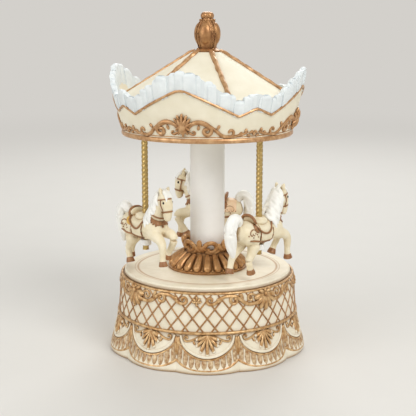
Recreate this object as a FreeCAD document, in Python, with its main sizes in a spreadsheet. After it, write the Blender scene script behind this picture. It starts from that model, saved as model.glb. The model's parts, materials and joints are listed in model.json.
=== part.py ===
import FreeCAD, Part
import math
import os
import Sketcher
from FreeCAD import Matrix, Placement, Rotation, Vector

# A wind-up carousel music box, in millimetres.
# Z is up, the rest plane is z 0, the spindle is the Z axis and the front of the box faces -Y.
# Angles round the box are counted from the front and grow towards +X.

DOC = FreeCAD.newDocument("CarouselMusicBox")
SHEET = DOC.addObject("Spreadsheet::Sheet", "Sizes")


# Sizes and the arithmetic between them

class Dim:
    """A size: its number now, and the expression that ties it to the sheet."""

    def __init__(self, value, text):
        self.value = value
        self.text = text

    def __add__(self, other):
        other = as_dim(other)
        return Dim(self.value + other.value, "(%s + %s)" % (self.text, other.text))

    def __radd__(self, other):
        return as_dim(other) + self

    def __sub__(self, other):
        other = as_dim(other)
        return Dim(self.value - other.value, "(%s - %s)" % (self.text, other.text))

    def __rsub__(self, other):
        return as_dim(other) - self

    def __mul__(self, other):
        other = as_dim(other)
        return Dim(self.value * other.value, "(%s * %s)" % (self.text, other.text))

    def __rmul__(self, other):
        return as_dim(other) * self

    def __truediv__(self, other):
        other = as_dim(other)
        return Dim(self.value / other.value, "(%s / %s)" % (self.text, other.text))

    def __neg__(self):
        return Dim(-self.value, "(0 - %s)" % self.text)


def as_dim(number):
    """A plain number as a size that no cell drives."""
    if isinstance(number, Dim):
        return number
    return Dim(float(number), repr(float(number)))


def sine(angle):
    """The sine of an angle in degrees."""
    return Dim(math.sin(math.radians(angle.value)), "sin(%s)" % angle.text)


def cosine(angle):
    """The cosine of an angle in degrees."""
    return Dim(math.cos(math.radians(angle.value)), "cos(%s)" % angle.text)


ROWS = []


def size(alias, number):
    """One cell of the sheet, named by its alias."""
    ROWS.append(alias)
    row = len(ROWS)
    SHEET.set("A%d" % row, alias)
    SHEET.set("B%d" % row, repr(float(number)))
    SHEET.setAlias("B%d" % row, alias)
    return Dim(float(number), "Sizes." + alias)


# Base: a hollow cast drum with a scalloped hem
hem_lobes = 10
hem_r = size("hem_radius", 60.4)
hem_notch = size("hem_notch_depth", 2.4)
hem_z = size("hem_widest_height", 1.2)
hem_inset = size("hem_foot_inset", 0.5)
skirt_z = size("skirt_top_height", 22.3)
skirt_r = size("skirt_top_radius", 54.0)
wall_top_r = size("wall_top_radius", 52.5)
deck_r = size("deck_radius", 50.4)
deck_low_z = size("deck_edge_low_height", 44.8)
deck_z = size("deck_height", 48.0)
deck_bevel = size("deck_bevel", 0.8)
palmette_leaves = 7
leaf_root = 0.4
leaf_swell = 1.05
leaf_fall = 1.4
palmette_drop = size("palmette_drop", 0.7)
palmette_long = size("palmette_middle_leaf", 10.6)
palmette_short = size("palmette_outer_leaf", 6.2)
palmette_leaf_r = size("palmette_leaf_radius", 0.95)
palmette_spread = size("palmette_spread", 66.0)
deck_thick = size("deck_thickness", 4.0)
drum_bore_r = size("drum_bore_radius", 46.0)
recess_r = size("key_recess_radius", 52.0)
recess_z = size("key_recess_depth", 12.0)
board_r = size("bottom_board_radius", 50.0)
board_thick = size("bottom_board_thickness", 2.5)
board_hole_r = size("board_arbor_hole_radius", 3.5)
board_screw_circle = size("board_screw_circle_radius", 48.0)
board_screw_head_r = size("board_screw_head_radius", 2.2)
board_screw_head = size("board_screw_head_height", 1.3)
board_screw_r = size("board_screw_radius", 1.2)
board_screw_length = size("board_screw_length", 9.0)

# Column, pedestal and the fixed lift cam
column_r = size("column_radius", 10.4)
column_wall = size("column_wall", 1.7)
column_top_z = size("column_top_height", 134.0)
pedestal_foot_r = size("pedestal_foot_radius", 23.9)
pedestal_neck_r = size("pedestal_neck_radius", 12.6)
pedestal_crown_r = size("pedestal_crown_radius", 14.2)
pedestal_tall = size("pedestal_height", 14.5)
pedestal_web = size("pedestal_web", 2.0)
pedestal_bore_r = size("pedestal_bore_radius", 4.5)
cam_r = size("cam_radius", 35.0)
cam_rim = size("cam_rim_width", 3.5)
cam_mid_z = size("cam_mid_height", 140.0)
cam_web = size("cam_web_thickness", 2.0)
cam_spigot = size("cam_spigot_length", 6.0)
cam_hub_r = size("cam_hub_radius", 6.0)
cam_hub_top_z = size("cam_hub_top_height", 145.0)
cam_waves = 3
lift = size("lift_travel", 3.0)
bush_r = size("bush_radius", 3.2)
bush_flange_r = size("bush_flange_radius", 5.2)
bush_flange = size("bush_flange_thickness", 1.5)
washer_thick = size("thrust_washer_thickness", 0.6)

# Spindle and canopy
rod_r = size("drive_rod_radius", 1.5)
shaft_fit = size("shaft_fit", 0.1)
rim_z = size("canopy_rim_height", 129.1)
rim_r = size("canopy_rim_radius", 50.2)
rim_bore_r = size("canopy_rim_bore_radius", 46.2)
ceiling_z = size("ceiling_top_height", 132.6)
ceiling_thick = size("ceiling_thickness", 2.4)
ceiling_fit = size("ceiling_fit", 0.2)
ceiling_bore_r = size("ceiling_bore_radius", 11.8)
ledge = size("ceiling_ledge", 1.2)
crown_mid_r = size("crown_mid_radius", 53.3)
crown_mid_z = size("crown_mid_height", 144.0)
crown_high_r = size("crown_high_radius", 56.3)
crown_high_z = size("crown_high_height", 157.0)
frill_r = size("frill_top_radius", 58.2)
frill_peak_z = size("frill_peak_height", 167.8)
frill_trough_z = size("frill_trough_height", 152.1)
frill_tooth_z = size("frill_tooth_height", 156.1)
shell = size("canopy_wall", 3.0)
eave_r = size("roof_eave_radius", 51.8)
eave_z = size("roof_eave_height", 151.0)
roof_top_r = size("roof_top_radius", 9.0)
roof_top_z = size("roof_top_height", 177.0)
boss_r = size("roof_boss_radius", 6.0)
boss_z = size("roof_boss_height", 158.0)
hub_flange_r = size("hub_flange_radius", 9.0)
hub_flange = size("hub_flange_thickness", 3.0)
ceiling_screw_circle = size("ceiling_screw_circle_radius", 43.4)
ceiling_screw_r = size("ceiling_screw_radius", 1.1)
ceiling_screw_head_r = size("ceiling_screw_head_radius", 2.0)
ceiling_screw_head = size("ceiling_screw_head_height", 0.9)
ceiling_boss_r = size("ceiling_boss_radius", 2.7)
ceiling_boss_z = size("ceiling_boss_top_height", 143.0)
nut_r = size("canopy_nut_corner_radius", 3.2)
nut_thick = size("canopy_nut_thickness", 2.4)
cap_washer_r = size("canopy_washer_radius", 3.8)
cap_washer = size("canopy_washer_thickness", 0.6)
finial_top_z = size("finial_top_height", 200.0)
finial_r = size("finial_bud_radius", 8.0)
finial_collar_r = size("finial_collar_radius", 8.2)
finial_socket_r = size("finial_socket_radius", 4.6)
finial_socket = size("finial_socket_depth", 6.4)

# Poles and horses
pole_circle = size("pole_circle_radius", 39.0)
pole_r = size("pole_radius", 2.0)
pole_tip_z = size("pole_tip_height", 61.3)
pole_top_z = size("pole_top_height", 146.0)
pole_fit = size("pole_slide_fit", 0.1)
pole_bush_wall = size("pole_bush_wall", 1.1)
pole_bush_flange = size("pole_bush_flange", 0.9)
pole_bush_lip = size("pole_bush_lip", 0.7)
left_angle = size("left_pole_angle", -70.0)
right_angle = size("right_pole_angle", 50.0)
rear_angle = size("rear_pole_angle", 173.0)
collar_r = size("pole_collar_radius", 3.3)
collar_low_z = size("pole_collar_low_height", 64.3)
collar_tall = size("pole_collar_height", 3.2)
follower_r = size("follower_radius", 3.6)
follower_tall = size("follower_height", 4.6)
follower_pin_r = size("follower_pin_radius", 1.0)
follower_gap = size("follower_gap", 0.4)
horse_half_width = size("horse_leg_spread", 3.8)

# Winding parts under and inside the base
arbor_r = size("winding_arbor_radius", 2.0)
arbor_core_r = size("arbor_core_radius", 2.5)
arbor_thread_r = size("arbor_thread_radius", 1.6)
key_low_z = size("key_low_height", 1.6)
key_gap = size("key_gap_under_board", 0.6)
key_loop_r = size("key_loop_radius", 4.9)
key_loop_hole_r = size("key_loop_hole_radius", 2.3)
key_reach = size("key_loop_reach", 8.6)
key_thick = size("key_thickness", 1.8)
key_hub_r = size("key_hub_radius", 3.1)
key_hub_rise = size("key_hub_rise", 2.4)
key_web_half = size("key_web_half_height", 2.4)
key_grip = size("key_thread_rise", 3.0)
bed_thick = size("bedplate_thickness", 2.5)
bed_left = size("bedplate_left", 17.0)
bed_right = size("bedplate_right", 38.4)
bed_front = size("bedplate_front", 19.4)
bed_back = size("bedplate_back", 22.0)
bed_screw_r = size("bedplate_screw_radius", 1.1)
bed_screw_head_r = size("bedplate_screw_head_radius", 2.1)
bed_screw_head = size("bedplate_screw_head_height", 1.2)
bed_screw_left = size("bedplate_screw_left", -13.0)
bed_screw_right = size("bedplate_screw_right", 29.0)
bed_screw_back = size("bedplate_screw_back", 14.0)
bed_screw_front = size("bedplate_screw_front", -15.0)
bed_screw_middle = size("bedplate_screw_middle", -5.5)
bed_screw_cover = size("bedplate_screw_cover", 0.3)
ratchet_r = size("ratchet_radius", 6.0)
ratchet_thick = size("ratchet_thickness", 1.0)
ratchet_tooth = size("ratchet_tooth_depth", 0.9)
click_thick = size("click_thickness", 0.9)
click_width = size("click_width", 1.2)
click_pin_r = size("click_pin_radius", 0.6)
click_x = size("click_pin_x", -9.4)
click_y = size("click_pin_y", -6.0)
click_reach = size("click_reach", 6.4)
click_lean = -22.0
click_spring_thick = size("click_spring_thickness", 0.3)
click_spring_start = size("click_spring_start", -2.0)
click_spring_end = size("click_spring_end", 4.0)
click_spring_drop = size("click_spring_drop", 0.1)

# Spring barrel
barrel_gap = size("barrel_gap_over_ratchet", 0.2)
barrel_r = size("barrel_radius", 12.0)
barrel_wall = size("barrel_wall", 0.5)
barrel_floor = size("barrel_floor", 1.0)
barrel_tall = size("barrel_height", 14.8)
barrel_lid = size("barrel_lid_thickness", 1.0)
lid_plug = size("barrel_lid_plug", 0.8)
arbor_shoulder = size("arbor_shoulder", 1.2)
arbor_end_gap = size("arbor_end_gap", 1.6)
spring_end_gap = size("mainspring_end_gap", 0.6)
barrel_post_r = size("barrel_post_radius", 2.2)
barrel_post = size("barrel_post_height", 4.0)
crown_wheel_r = size("crown_wheel_radius", 14.6)
crown_wheel_thick = size("crown_wheel_thickness", 2.2)
coupling_r = size("coupling_radius", 3.8)
coupling_gap = size("coupling_gap", 0.4)
coupling_tall = size("coupling_height", 8.0)
spring_strip = size("mainspring_strip", 0.3)
spring_turns = 6

# Cylinder, comb and speed governor
train_z = size("train_axis_height", 25.4)
drive_module = size("drive_module", 0.6)
crown_teeth = 45
pinion_teeth = 10
cylinder_r = size("cylinder_radius", 6.0)
cylinder_start = size("cylinder_start", 16.5)
cylinder_long = size("cylinder_length", 16.0)
cylinder_pin = size("cylinder_pin_height", 0.6)
cylinder_pin_r = size("cylinder_pin_radius", 0.22)
train_arbor_r = size("cylinder_arbor_radius", 1.0)
pinion_start = size("cylinder_pinion_start", 12.3)
pinion_wide = size("cylinder_pinion_width", 2.1)
bracket_thick = size("bracket_thickness", 1.2)
bracket_half = size("bracket_half_width", 3.0)
bracket_tall = size("bracket_rise_over_axis", 2.6)
bracket_gap = size("bracket_gap", 0.4)
wheel_module = size("wheel_module", 0.5)
wheel_teeth = 30
wheel_wide = size("cylinder_wheel_width", 1.2)
second_teeth = 8
second_arbor_r = size("second_arbor_radius", 0.75)
worm_module = size("worm_module", 0.45)
worm_teeth = 20
worm_wheel_wide = size("worm_wheel_width", 1.0)
worm_wheel_x = size("worm_wheel_position", 35.75)
worm_pitch_r = size("worm_pitch_radius", 1.3)
worm_core_r = size("worm_core_radius", 0.95)
worm_thread_r = size("worm_thread_radius", 1.56)
worm_pivot_r = size("worm_pivot_radius", 0.6)
fan_r = size("fan_radius", 4.5)
fan_tall = size("fan_height", 4.0)
fan_thick = size("fan_thickness", 0.5)
fan_hub_wall = size("fan_hub_wall", 0.9)
fan_gap = size("fan_gap_over_arm", 0.6)
governor_half = size("governor_frame_half_width", 1.8)
governor_back_reach = size("governor_back_reach", 3.6)
governor_back_gap = size("governor_back_gap", 2.0)
governor_front_reach = size("governor_front_reach", 1.7)
governor_arm_reach = size("governor_arm_reach", 1.5)
governor_post_back = size("governor_post_back", 2.4)
governor_post_front = size("governor_post_front", 2.1)
governor_post_rise = size("governor_post_rise", 2.2)
governor_pivot_depth = size("governor_pivot_depth", 1.5)
worm_seat = size("worm_seat_height", 3.0)
worm_end_gap = size("worm_end_gap", 0.5)
arbor_end = size("train_arbor_end", 0.3)
comb_teeth = 18
comb_pitch = size("comb_pitch", 0.86)
comb_tooth_wide = size("comb_tooth_width", 0.56)
comb_tooth_thick = size("comb_tooth_thickness", 0.6)
comb_tip_gap = size("comb_tip_gap", 0.3)
comb_root_y = size("comb_root_position", 14.0)
comb_thick = size("comb_thickness", 1.2)
comb_screw_r = size("comb_screw_radius", 1.0)
comb_screw_head_r = size("comb_screw_head_radius", 1.8)
comb_screw_head = size("comb_screw_head_height", 1.2)
comb_screw_length = size("comb_screw_length", 6.0)
comb_screw_inset = size("comb_screw_inset", 3.2)
comb_margin = size("comb_margin", 1.4)
comb_tooth_root = size("comb_tooth_root_overlap", 0.5)
DOC.recompute()


# Helpers that bind document objects to the sheet

def bind(obj, prop, number):
    """Set a property and keep it tied to its size."""
    number = as_dim(number)
    setattr(obj, prop, number.value)
    obj.setExpression(prop, number.text)


def place(obj, x=0.0, y=0.0, z=0.0, rotation=None):
    """Move an object to a point, each coordinate tied to its size."""
    spot = [as_dim(x), as_dim(y), as_dim(z)]
    turn = rotation if rotation is not None else Rotation()
    obj.Placement = Placement(Vector(spot[0].value, spot[1].value, spot[2].value), turn)
    for axis, number in zip("xyz", spot):
        obj.setExpression("Placement.Base." + axis, number.text)


ALONG_X = Rotation(Vector(0, 1, 0), 90)
ALONG_Y = Rotation(Vector(1, 0, 0), -90)


def cylinder(name, radius, tall, x=0.0, y=0.0, z=0.0, rotation=None):
    """A round bar, standing up unless it is turned."""
    obj = DOC.addObject("Part::Cylinder", name)
    bind(obj, "Radius", radius)
    bind(obj, "Height", tall)
    place(obj, x, y, z, rotation)
    return obj


def block(name, x0, x1, y0, y1, z0, z1):
    """A box between two corners."""
    obj = DOC.addObject("Part::Box", name)
    bind(obj, "Length", as_dim(x1) - x0)
    bind(obj, "Width", as_dim(y1) - y0)
    bind(obj, "Height", as_dim(z1) - z0)
    place(obj, x0, y0, z0)
    return obj


def prism(name, sides, corner_r, tall, z):
    """A regular prism such as a nut blank."""
    obj = DOC.addObject("Part::Prism", name)
    obj.Polygon = sides
    bind(obj, "Circumradius", corner_r)
    bind(obj, "Height", tall)
    place(obj, 0.0, 0.0, z)
    return obj


def fuse(name, objects):
    """One solid from several that run into each other."""
    obj = DOC.addObject("Part::MultiFuse", name)
    obj.Shapes = objects
    return obj


def group(name, objects):
    """Identical solids that share one node."""
    obj = DOC.addObject("Part::Compound", name)
    obj.Links = objects
    return obj


def cut(name, base, tools):
    """A solid with other solids taken out of it."""
    tool = tools[0]
    if len(tools) > 1:
        tool = fuse(name + "_tools", tools)
    obj = DOC.addObject("Part::Cut", name)
    obj.Base = base
    obj.Tool = tool
    return obj


def plane_of(body, role):
    """One of the origin planes of a body."""
    for feature in body.Origin.OriginFeatures:
        if feature.Role == role:
            return feature
    raise ValueError(role)


def draw_outline(sketch, outline):
    """A closed outline of straight lines, each corner held by its two sizes."""
    corners = [(as_dim(x), as_dim(y)) for x, y in outline]
    count = len(corners)
    for index in range(count):
        here = corners[index]
        after = corners[(index + 1) % count]
        start = Vector(here[0].value, here[1].value, 0)
        end = Vector(after[0].value, after[1].value, 0)
        sketch.addGeometry(Part.LineSegment(start, end), False)
    for index in range(count):
        sketch.addConstraint(Sketcher.Constraint("Coincident", index, 2, (index + 1) % count, 1))
    for index, corner in enumerate(corners):
        for kind, axis, number in (("DistanceX", -2, corner[0]), ("DistanceY", -1, corner[1])):
            if abs(number.value) < 1e-9:
                sketch.addConstraint(Sketcher.Constraint("PointOnObject", index, 1, axis))
                continue
            held = sketch.addConstraint(Sketcher.Constraint(kind, -1, 1, index, 1, number.value))
            if "Sizes" in number.text:
                sketch.setExpression("Constraints[%d]" % held, number.text)


def turned(name, outline):
    """A body turned about the Z axis from an outline of radius and height."""
    body = DOC.addObject("PartDesign::Body", name)
    sketch = body.newObject("Sketcher::SketchObject", name + "_outline")
    sketch.AttachmentSupport = [(plane_of(body, "XZ_Plane"), "")]
    sketch.MapMode = "FlatFace"
    draw_outline(sketch, outline)
    turn = body.newObject("PartDesign::Revolution", name + "_turn")
    turn.Profile = sketch
    turn.ReferenceAxis = (sketch, ["V_Axis"])
    turn.Angle = 360.0
    return body


def formed(name, shape):
    """A shape that no primitive gives, kept as a document object."""
    obj = DOC.addObject("Part::Feature", name)
    obj.Shape = shape
    return obj


def spot_on(circle, angle):
    """The x and y of a point on a circle round the box, counted from the front."""
    return circle * sine(angle), -(circle * cosine(angle))


def screws(name, spots, head_r, head_tall, shank_r, shank_tall, face_z, up):
    """A set of round-headed screws; up is 1 when the shank points up from the face."""
    made = []
    for index, (x, y) in enumerate(spots):
        stem = "%s_%d" % (name, index + 1)
        head_z = face_z - head_tall if up > 0 else face_z
        shank_z = face_z - head_tall / 2 if up > 0 else face_z - shank_tall
        head = cylinder(stem + "_head", head_r, head_tall, x, y, head_z)
        shank = cylinder(stem + "_shank", shank_r, shank_tall + head_tall / 2, x, y, shank_z)
        slot_z = head_z - 0.6 * head_tall if up > 0 else head_z + 0.6 * head_tall
        slot = block(stem + "_slot", x - head_r * 1.2, x + head_r * 1.2,
                     y - head_r * 0.14, y + head_r * 0.14, slot_z, slot_z + head_tall)
        made.append(cut(stem, fuse(stem + "_blank", [head, shank]), [slot]))
    return group(name, made)


def limb(stations):
    """A smooth limb through round sections, each square to the run of the limb."""
    rings = []
    last = len(stations) - 1
    for index, (x, y, z, radius) in enumerate(stations):
        before = Vector(*stations[max(index - 1, 0)][:3])
        after = Vector(*stations[min(index + 1, last)][:3])
        circle = Part.Circle(Vector(x, y, z), after - before, radius)
        rings.append(Part.Wire([circle.toShape()]))
    return Part.makeLoft(rings, True, False)


def between(stations, z):
    """The values of a row of stations at a height, by straight steps; the height comes first in each."""
    for low, high in zip(stations, stations[1:]):
        if z <= high[0]:
            break
    part_way = (z - low[0]) / (high[0] - low[0])
    return [start + (end - start) * part_way for start, end in zip(low[1:], high[1:])]


def leaf_fan(spot_at, root_z, count, spread, longest, shortest, tip_r):
    """Tapered leaves with round tips that hang over a wall from one root, the middle one longest."""
    leaves = []
    root = spot_at(0.0, root_z)
    for index in range(count):
        part_way = 2.0 * index / (count - 1) - 1.0
        long = longest + (shortest - longest) * abs(part_way) ** leaf_fall
        turn = math.radians(spread * part_way)
        tip = spot_at(long * math.sin(turn), root_z - long * math.cos(turn))
        run = tip - root
        leaves.append(Part.makeCone(tip_r * leaf_root, tip_r, run.Length, root, run))
        leaves.append(Part.makeSphere(tip_r * leaf_swell, tip))
    return leaves


def all_round(name, pieces, count):
    """The pieces made one solid, with copies of it set evenly round the box."""
    solid = pieces[0].multiFuse(pieces[1:])
    copies = []
    for index in range(count):
        copy = solid.copy()
        copy.rotate(Vector(0, 0, 0), Vector(0, 0, 1), 360.0 * index / count)
        copies.append(formed("%s_%d" % (name, index + 1), copy))
    return copies


NODES = []


def node(obj):
    """Mark an object as one node of the assembly."""
    obj.Label = obj.Name
    NODES.append(obj)
    return obj


# Base drum: skirt with ten lobes, plain wall, deck and the hollow inside

def lobed_ring(peak, notch, z):
    """A closed ring of arcs that bulge to the peak radius and meet at the notch radius."""
    step = 2.0 * math.pi / hem_lobes
    arcs = []
    for index in range(hem_lobes):
        middle = -0.5 * math.pi + index * step
        points = []
        for angle, radius in ((middle - step / 2, notch), (middle, peak), (middle + step / 2, notch)):
            points.append(Vector(radius * math.cos(angle), radius * math.sin(angle), z))
        arcs.append(Part.Arc(*points).toShape())
    return Part.Wire(arcs)


skirt_rise = skirt_z.value - hem_z.value
skirt_flare = hem_r.value - skirt_r.value
foot_ring_r = hem_r.value - hem_inset.value
skirt_stations = [(0.0, foot_ring_r, hem_notch.value)]
for part_way, reach, depth in ((0.0, 1.0, 1.0), (0.2, 0.82, 0.9), (0.45, 0.54, 0.65), (0.75, 0.22, 0.25)):
    skirt_stations.append((hem_z.value + skirt_rise * part_way, skirt_r.value + skirt_flare * reach,
                           hem_notch.value * depth))
skirt_stations.append((skirt_z.value, skirt_r.value, 0.0))
skirt_rings = [lobed_ring(peak, peak - depth, z) for z, peak, depth in skirt_stations]
skirt = formed("drum_skirt", Part.makeLoft(skirt_rings, True, False))


def on_skirt(along, z):
    """A point on the front lobe, at a distance along the wall from its middle."""
    peak, depth = between(skirt_stations, z)
    angle = along / peak
    reach = peak - depth * (angle * hem_lobes / math.pi) ** 2
    return Vector(reach * math.sin(angle), -reach * math.cos(angle), z)


palmettes = all_round("palmette", leaf_fan(on_skirt, skirt_z.value - palmette_drop.value, palmette_leaves,
                                            palmette_spread.value, palmette_long.value, palmette_short.value,
                                            palmette_leaf_r.value), hem_lobes)

drum_wall = turned("drum_wall", [
    (0.0, recess_z),
    (skirt_r - 1.0, recess_z),
    (skirt_r, skirt_z),
    (wall_top_r, deck_low_z),
    (deck_r - deck_bevel, deck_low_z),
    (deck_r, deck_low_z + deck_bevel),
    (deck_r, deck_z - deck_bevel),
    (deck_r - deck_bevel, deck_z),
    (0.0, deck_z),
])
board_top_z = recess_z + board_thick
drum_hollow = turned("drum_hollow", [
    (0.0, -1.0),
    (recess_r, -1.0),
    (recess_r, recess_z),
    (board_r, recess_z),
    (board_r, board_top_z),
    (drum_bore_r, board_top_z),
    (drum_bore_r, deck_z - deck_thick),
    (0.0, deck_z - deck_thick),
])
deck_hole = cylinder("deck_hole", bush_r, deck_thick * 2, 0.0, 0.0, deck_z - deck_thick * 1.5)
board_screw_angles = (30.0, 150.0, 270.0)
board_spots = [spot_on(board_screw_circle, as_dim(angle)) for angle in board_screw_angles]
drum_screw_holes = []
for index, (x, y) in enumerate(board_spots):
    drum_screw_holes.append(cylinder("drum_screw_hole_%d" % (index + 1), board_screw_r,
                                     board_screw_length, x, y, recess_z))
drum_body = fuse("drum_body", [skirt, drum_wall] + palmettes)
node(cut("base_drum", drum_body, [drum_hollow, deck_hole] + drum_screw_holes))

# Bottom board that carries the movement
board_blank = turned("board_blank", [
    (board_hole_r, recess_z),
    (board_r, recess_z),
    (board_r, board_top_z),
    (board_hole_r, board_top_z),
])
bed_spots = [
    (bed_screw_left, bed_screw_back),
    (bed_screw_left, bed_screw_front),
    (bed_screw_right, bed_screw_middle),
]
board_holes = []
for index, (x, y) in enumerate(board_spots):
    board_holes.append(cylinder("board_screw_hole_%d" % (index + 1), board_screw_r,
                                board_thick * 3, x, y, recess_z - board_thick))
for index, (x, y) in enumerate(bed_spots):
    board_holes.append(cylinder("board_bed_hole_%d" % (index + 1), bed_screw_r,
                                board_thick * 3, x, y, recess_z - board_thick))
node(cut("bottom_board", board_blank, board_holes))
node(screws("bottom_board_screws", board_spots, board_screw_head_r, board_screw_head,
            board_screw_r, board_screw_length, recess_z, 1))

# Pedestal, column and the bushes that carry the spindle
node(turned("column_pedestal", [
    (pedestal_bore_r, deck_z),
    (pedestal_foot_r, deck_z),
    (pedestal_foot_r, deck_z + 1.4),
    (pedestal_foot_r - 2.4, deck_z + 2.6),
    (pedestal_foot_r - 5.2, deck_z + 4.6),
    (pedestal_foot_r - 8.6, deck_z + 6.8),
    (pedestal_neck_r + 0.4, deck_z + 8.2),
    (pedestal_neck_r, deck_z + 9.4),
    (pedestal_crown_r, deck_z + pedestal_tall - 1.6),
    (pedestal_crown_r - 0.6, deck_z + pedestal_tall),
    (column_r, deck_z + pedestal_tall),
    (column_r, deck_z + pedestal_web),
    (pedestal_bore_r, deck_z + pedestal_web),
]))
column_low_z = deck_z + pedestal_web
node(turned("column_tube", [
    (column_r - column_wall, column_low_z),
    (column_r, column_low_z),
    (column_r, column_top_z),
    (column_r - column_wall, column_top_z),
]))
deck_low_face = deck_z - deck_thick
node(turned("deck_bush", [
    (rod_r + shaft_fit, deck_low_face - bush_flange),
    (bush_flange_r, deck_low_face - bush_flange),
    (bush_flange_r, deck_low_face),
    (bush_r, deck_low_face),
    (bush_r, deck_z),
    (rod_r + shaft_fit, deck_z),
]))

# Lift cam: a spigot in the column, a web, and a rim whose top edge rises and falls
cam_core = turned("cam_core", [
    (bush_r, column_top_z - cam_spigot),
    (column_r - column_wall, column_top_z - cam_spigot),
    (column_r - column_wall, column_top_z),
    (cam_r, column_top_z),
    (cam_r, cam_mid_z + lift * 2),
    (cam_r - cam_rim, cam_mid_z + lift * 2),
    (cam_r - cam_rim, column_top_z + cam_web),
    (cam_hub_r, column_top_z + cam_web),
    (cam_hub_r, cam_hub_top_z),
    (bush_r, cam_hub_top_z),
])


def ring_curve(radius, height_at, count):
    """A closed curve round the Z axis whose height follows a function of the angle from the front."""
    points = []
    for index in range(count):
        angle = 2.0 * math.pi * index / count
        spot = Vector(radius * math.sin(angle), -radius * math.cos(angle), height_at(math.degrees(angle)))
        points.append(spot)
    curve = Part.BSplineCurve()
    curve.interpolate(points, PeriodicFlag=True)
    return curve.toShape()


def wavy_cutter(inner_r, outer_r, height_at, count, tall):
    """A thick ring with a wavy underside, for trimming a wall to a wavy top edge."""
    inner = ring_curve(inner_r, height_at, count)
    outer = ring_curve(outer_r, height_at, count)
    face = Part.makeRuledSurface(inner, outer)
    return face.extrude(Vector(0, 0, tall))


def cam_height(degrees_round):
    """Height of the cam edge; the poles stand at its middle height."""
    turn = math.radians(cam_waves * (degrees_round - left_angle.value))
    return cam_mid_z.value + lift.value * math.sin(turn)


cam_trim_points = 36
cam_trim_margin = 2.0
cam_trim = formed("cam_trim", wavy_cutter(cam_r.value - cam_rim.value - cam_trim_margin,
                                          cam_r.value + cam_trim_margin, cam_height,
                                          cam_trim_points, lift.value * 6))
node(cut("lift_cam", cam_core, [cam_trim]))
node(turned("cam_bush", [
    (rod_r + shaft_fit, column_top_z - cam_spigot),
    (bush_r, column_top_z - cam_spigot),
    (bush_r, cam_hub_top_z),
    (bush_flange_r, cam_hub_top_z),
    (bush_flange_r, cam_hub_top_z + bush_flange),
    (rod_r + shaft_fit, cam_hub_top_z + bush_flange),
]))
washer_z = cam_hub_top_z + bush_flange
node(turned("thrust_washer", [
    (rod_r + shaft_fit, washer_z),
    (bush_flange_r, washer_z),
    (bush_flange_r, washer_z + washer_thick),
    (rod_r + shaft_fit, washer_z + washer_thick),
]))

# Movement bedplate with its raised comb seat
bed_z = board_top_z
bed_top_z = bed_z + bed_thick
comb_low_z = train_z - comb_tooth_thick / 2
comb_span = comb_pitch * (comb_teeth - 1)
comb_first_x = cylinder_start + cylinder_long / 2 - comb_span / 2
comb_left_x = comb_first_x - comb_margin
comb_right_x = comb_first_x + comb_span + comb_margin
bed_slab = block("bed_slab", -bed_left, bed_right, -bed_front, bed_back, bed_z, bed_top_z)
comb_seat = block("comb_seat", comb_left_x, comb_right_x, comb_root_y, bed_back, bed_z, comb_low_z)
comb_screw_y = comb_root_y + (bed_back - comb_root_y) / 2
comb_spots = [
    (comb_left_x + comb_screw_inset, comb_screw_y),
    (comb_right_x - comb_screw_inset, comb_screw_y),
]
bed_holes = [cylinder("bed_arbor_hole", arbor_r + shaft_fit, bed_thick * 3, 0.0, 0.0, bed_z - bed_thick)]
bed_screw_length = board_thick + bed_thick - bed_screw_cover
for index, (x, y) in enumerate(bed_spots):
    bed_holes.append(cylinder("bed_screw_hole_%d" % (index + 1), bed_screw_r, bed_screw_length,
                              x, y, recess_z))
for index, (x, y) in enumerate(comb_spots):
    bed_holes.append(cylinder("bed_comb_hole_%d" % (index + 1), comb_screw_r, comb_screw_length,
                              x, y, comb_low_z + comb_thick - comb_screw_length))
node(cut("movement_bedplate", fuse("bed_body", [bed_slab, comb_seat]), bed_holes))
node(screws("movement_screws", bed_spots, bed_screw_head_r, bed_screw_head,
            bed_screw_r, bed_screw_length, recess_z, 1))

# Comb with its eighteen tuned teeth and the screws that hold it
comb_body = block("comb_body", comb_left_x, comb_right_x, comb_root_y, bed_back,
                  comb_low_z, comb_low_z + comb_thick)
comb_fingers = [comb_body]
comb_tip_y = cylinder_r + cylinder_pin + comb_tip_gap
for index in range(comb_teeth):
    tooth_x = comb_first_x + comb_pitch * index
    comb_fingers.append(block("comb_tooth_%d" % (index + 1), tooth_x - comb_tooth_wide / 2,
                              tooth_x + comb_tooth_wide / 2, comb_tip_y, comb_root_y + comb_tooth_root,
                              comb_low_z, comb_low_z + comb_tooth_thick))
comb_holes = []
for index, (x, y) in enumerate(comb_spots):
    comb_holes.append(cylinder("comb_hole_%d" % (index + 1), comb_screw_r, comb_thick * 3,
                               x, y, comb_low_z - comb_thick))
node(cut("comb", fuse("comb_blank", comb_fingers), comb_holes))
node(screws("comb_screws", comb_spots, comb_screw_head_r, comb_screw_head,
            comb_screw_r, comb_screw_length, comb_low_z + comb_thick, -1))


# Brackets for the cylinder arbor and for the governor

def bracket(name, start):
    """An upright with one bearing hole for the cylinder arbor."""
    upright = block(name + "_upright", start, start + bracket_thick, -bracket_half, bracket_half,
                    bed_top_z, train_z + bracket_tall)
    bore = cylinder(name + "_bore", train_arbor_r + shaft_fit, bracket_thick * 3,
                    start - bracket_thick, 0.0, train_z, ALONG_X)
    return node(cut(name, upright, [bore]))


inner_bracket_x = cylinder_start - bracket_gap - bracket_thick
wheel_x = cylinder_start + cylinder_long + bracket_gap
outer_bracket_x = wheel_x + wheel_wide + bracket_gap
bracket("cylinder_bracket_inner", inner_bracket_x)
bracket("cylinder_bracket_outer", outer_bracket_x)

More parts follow.
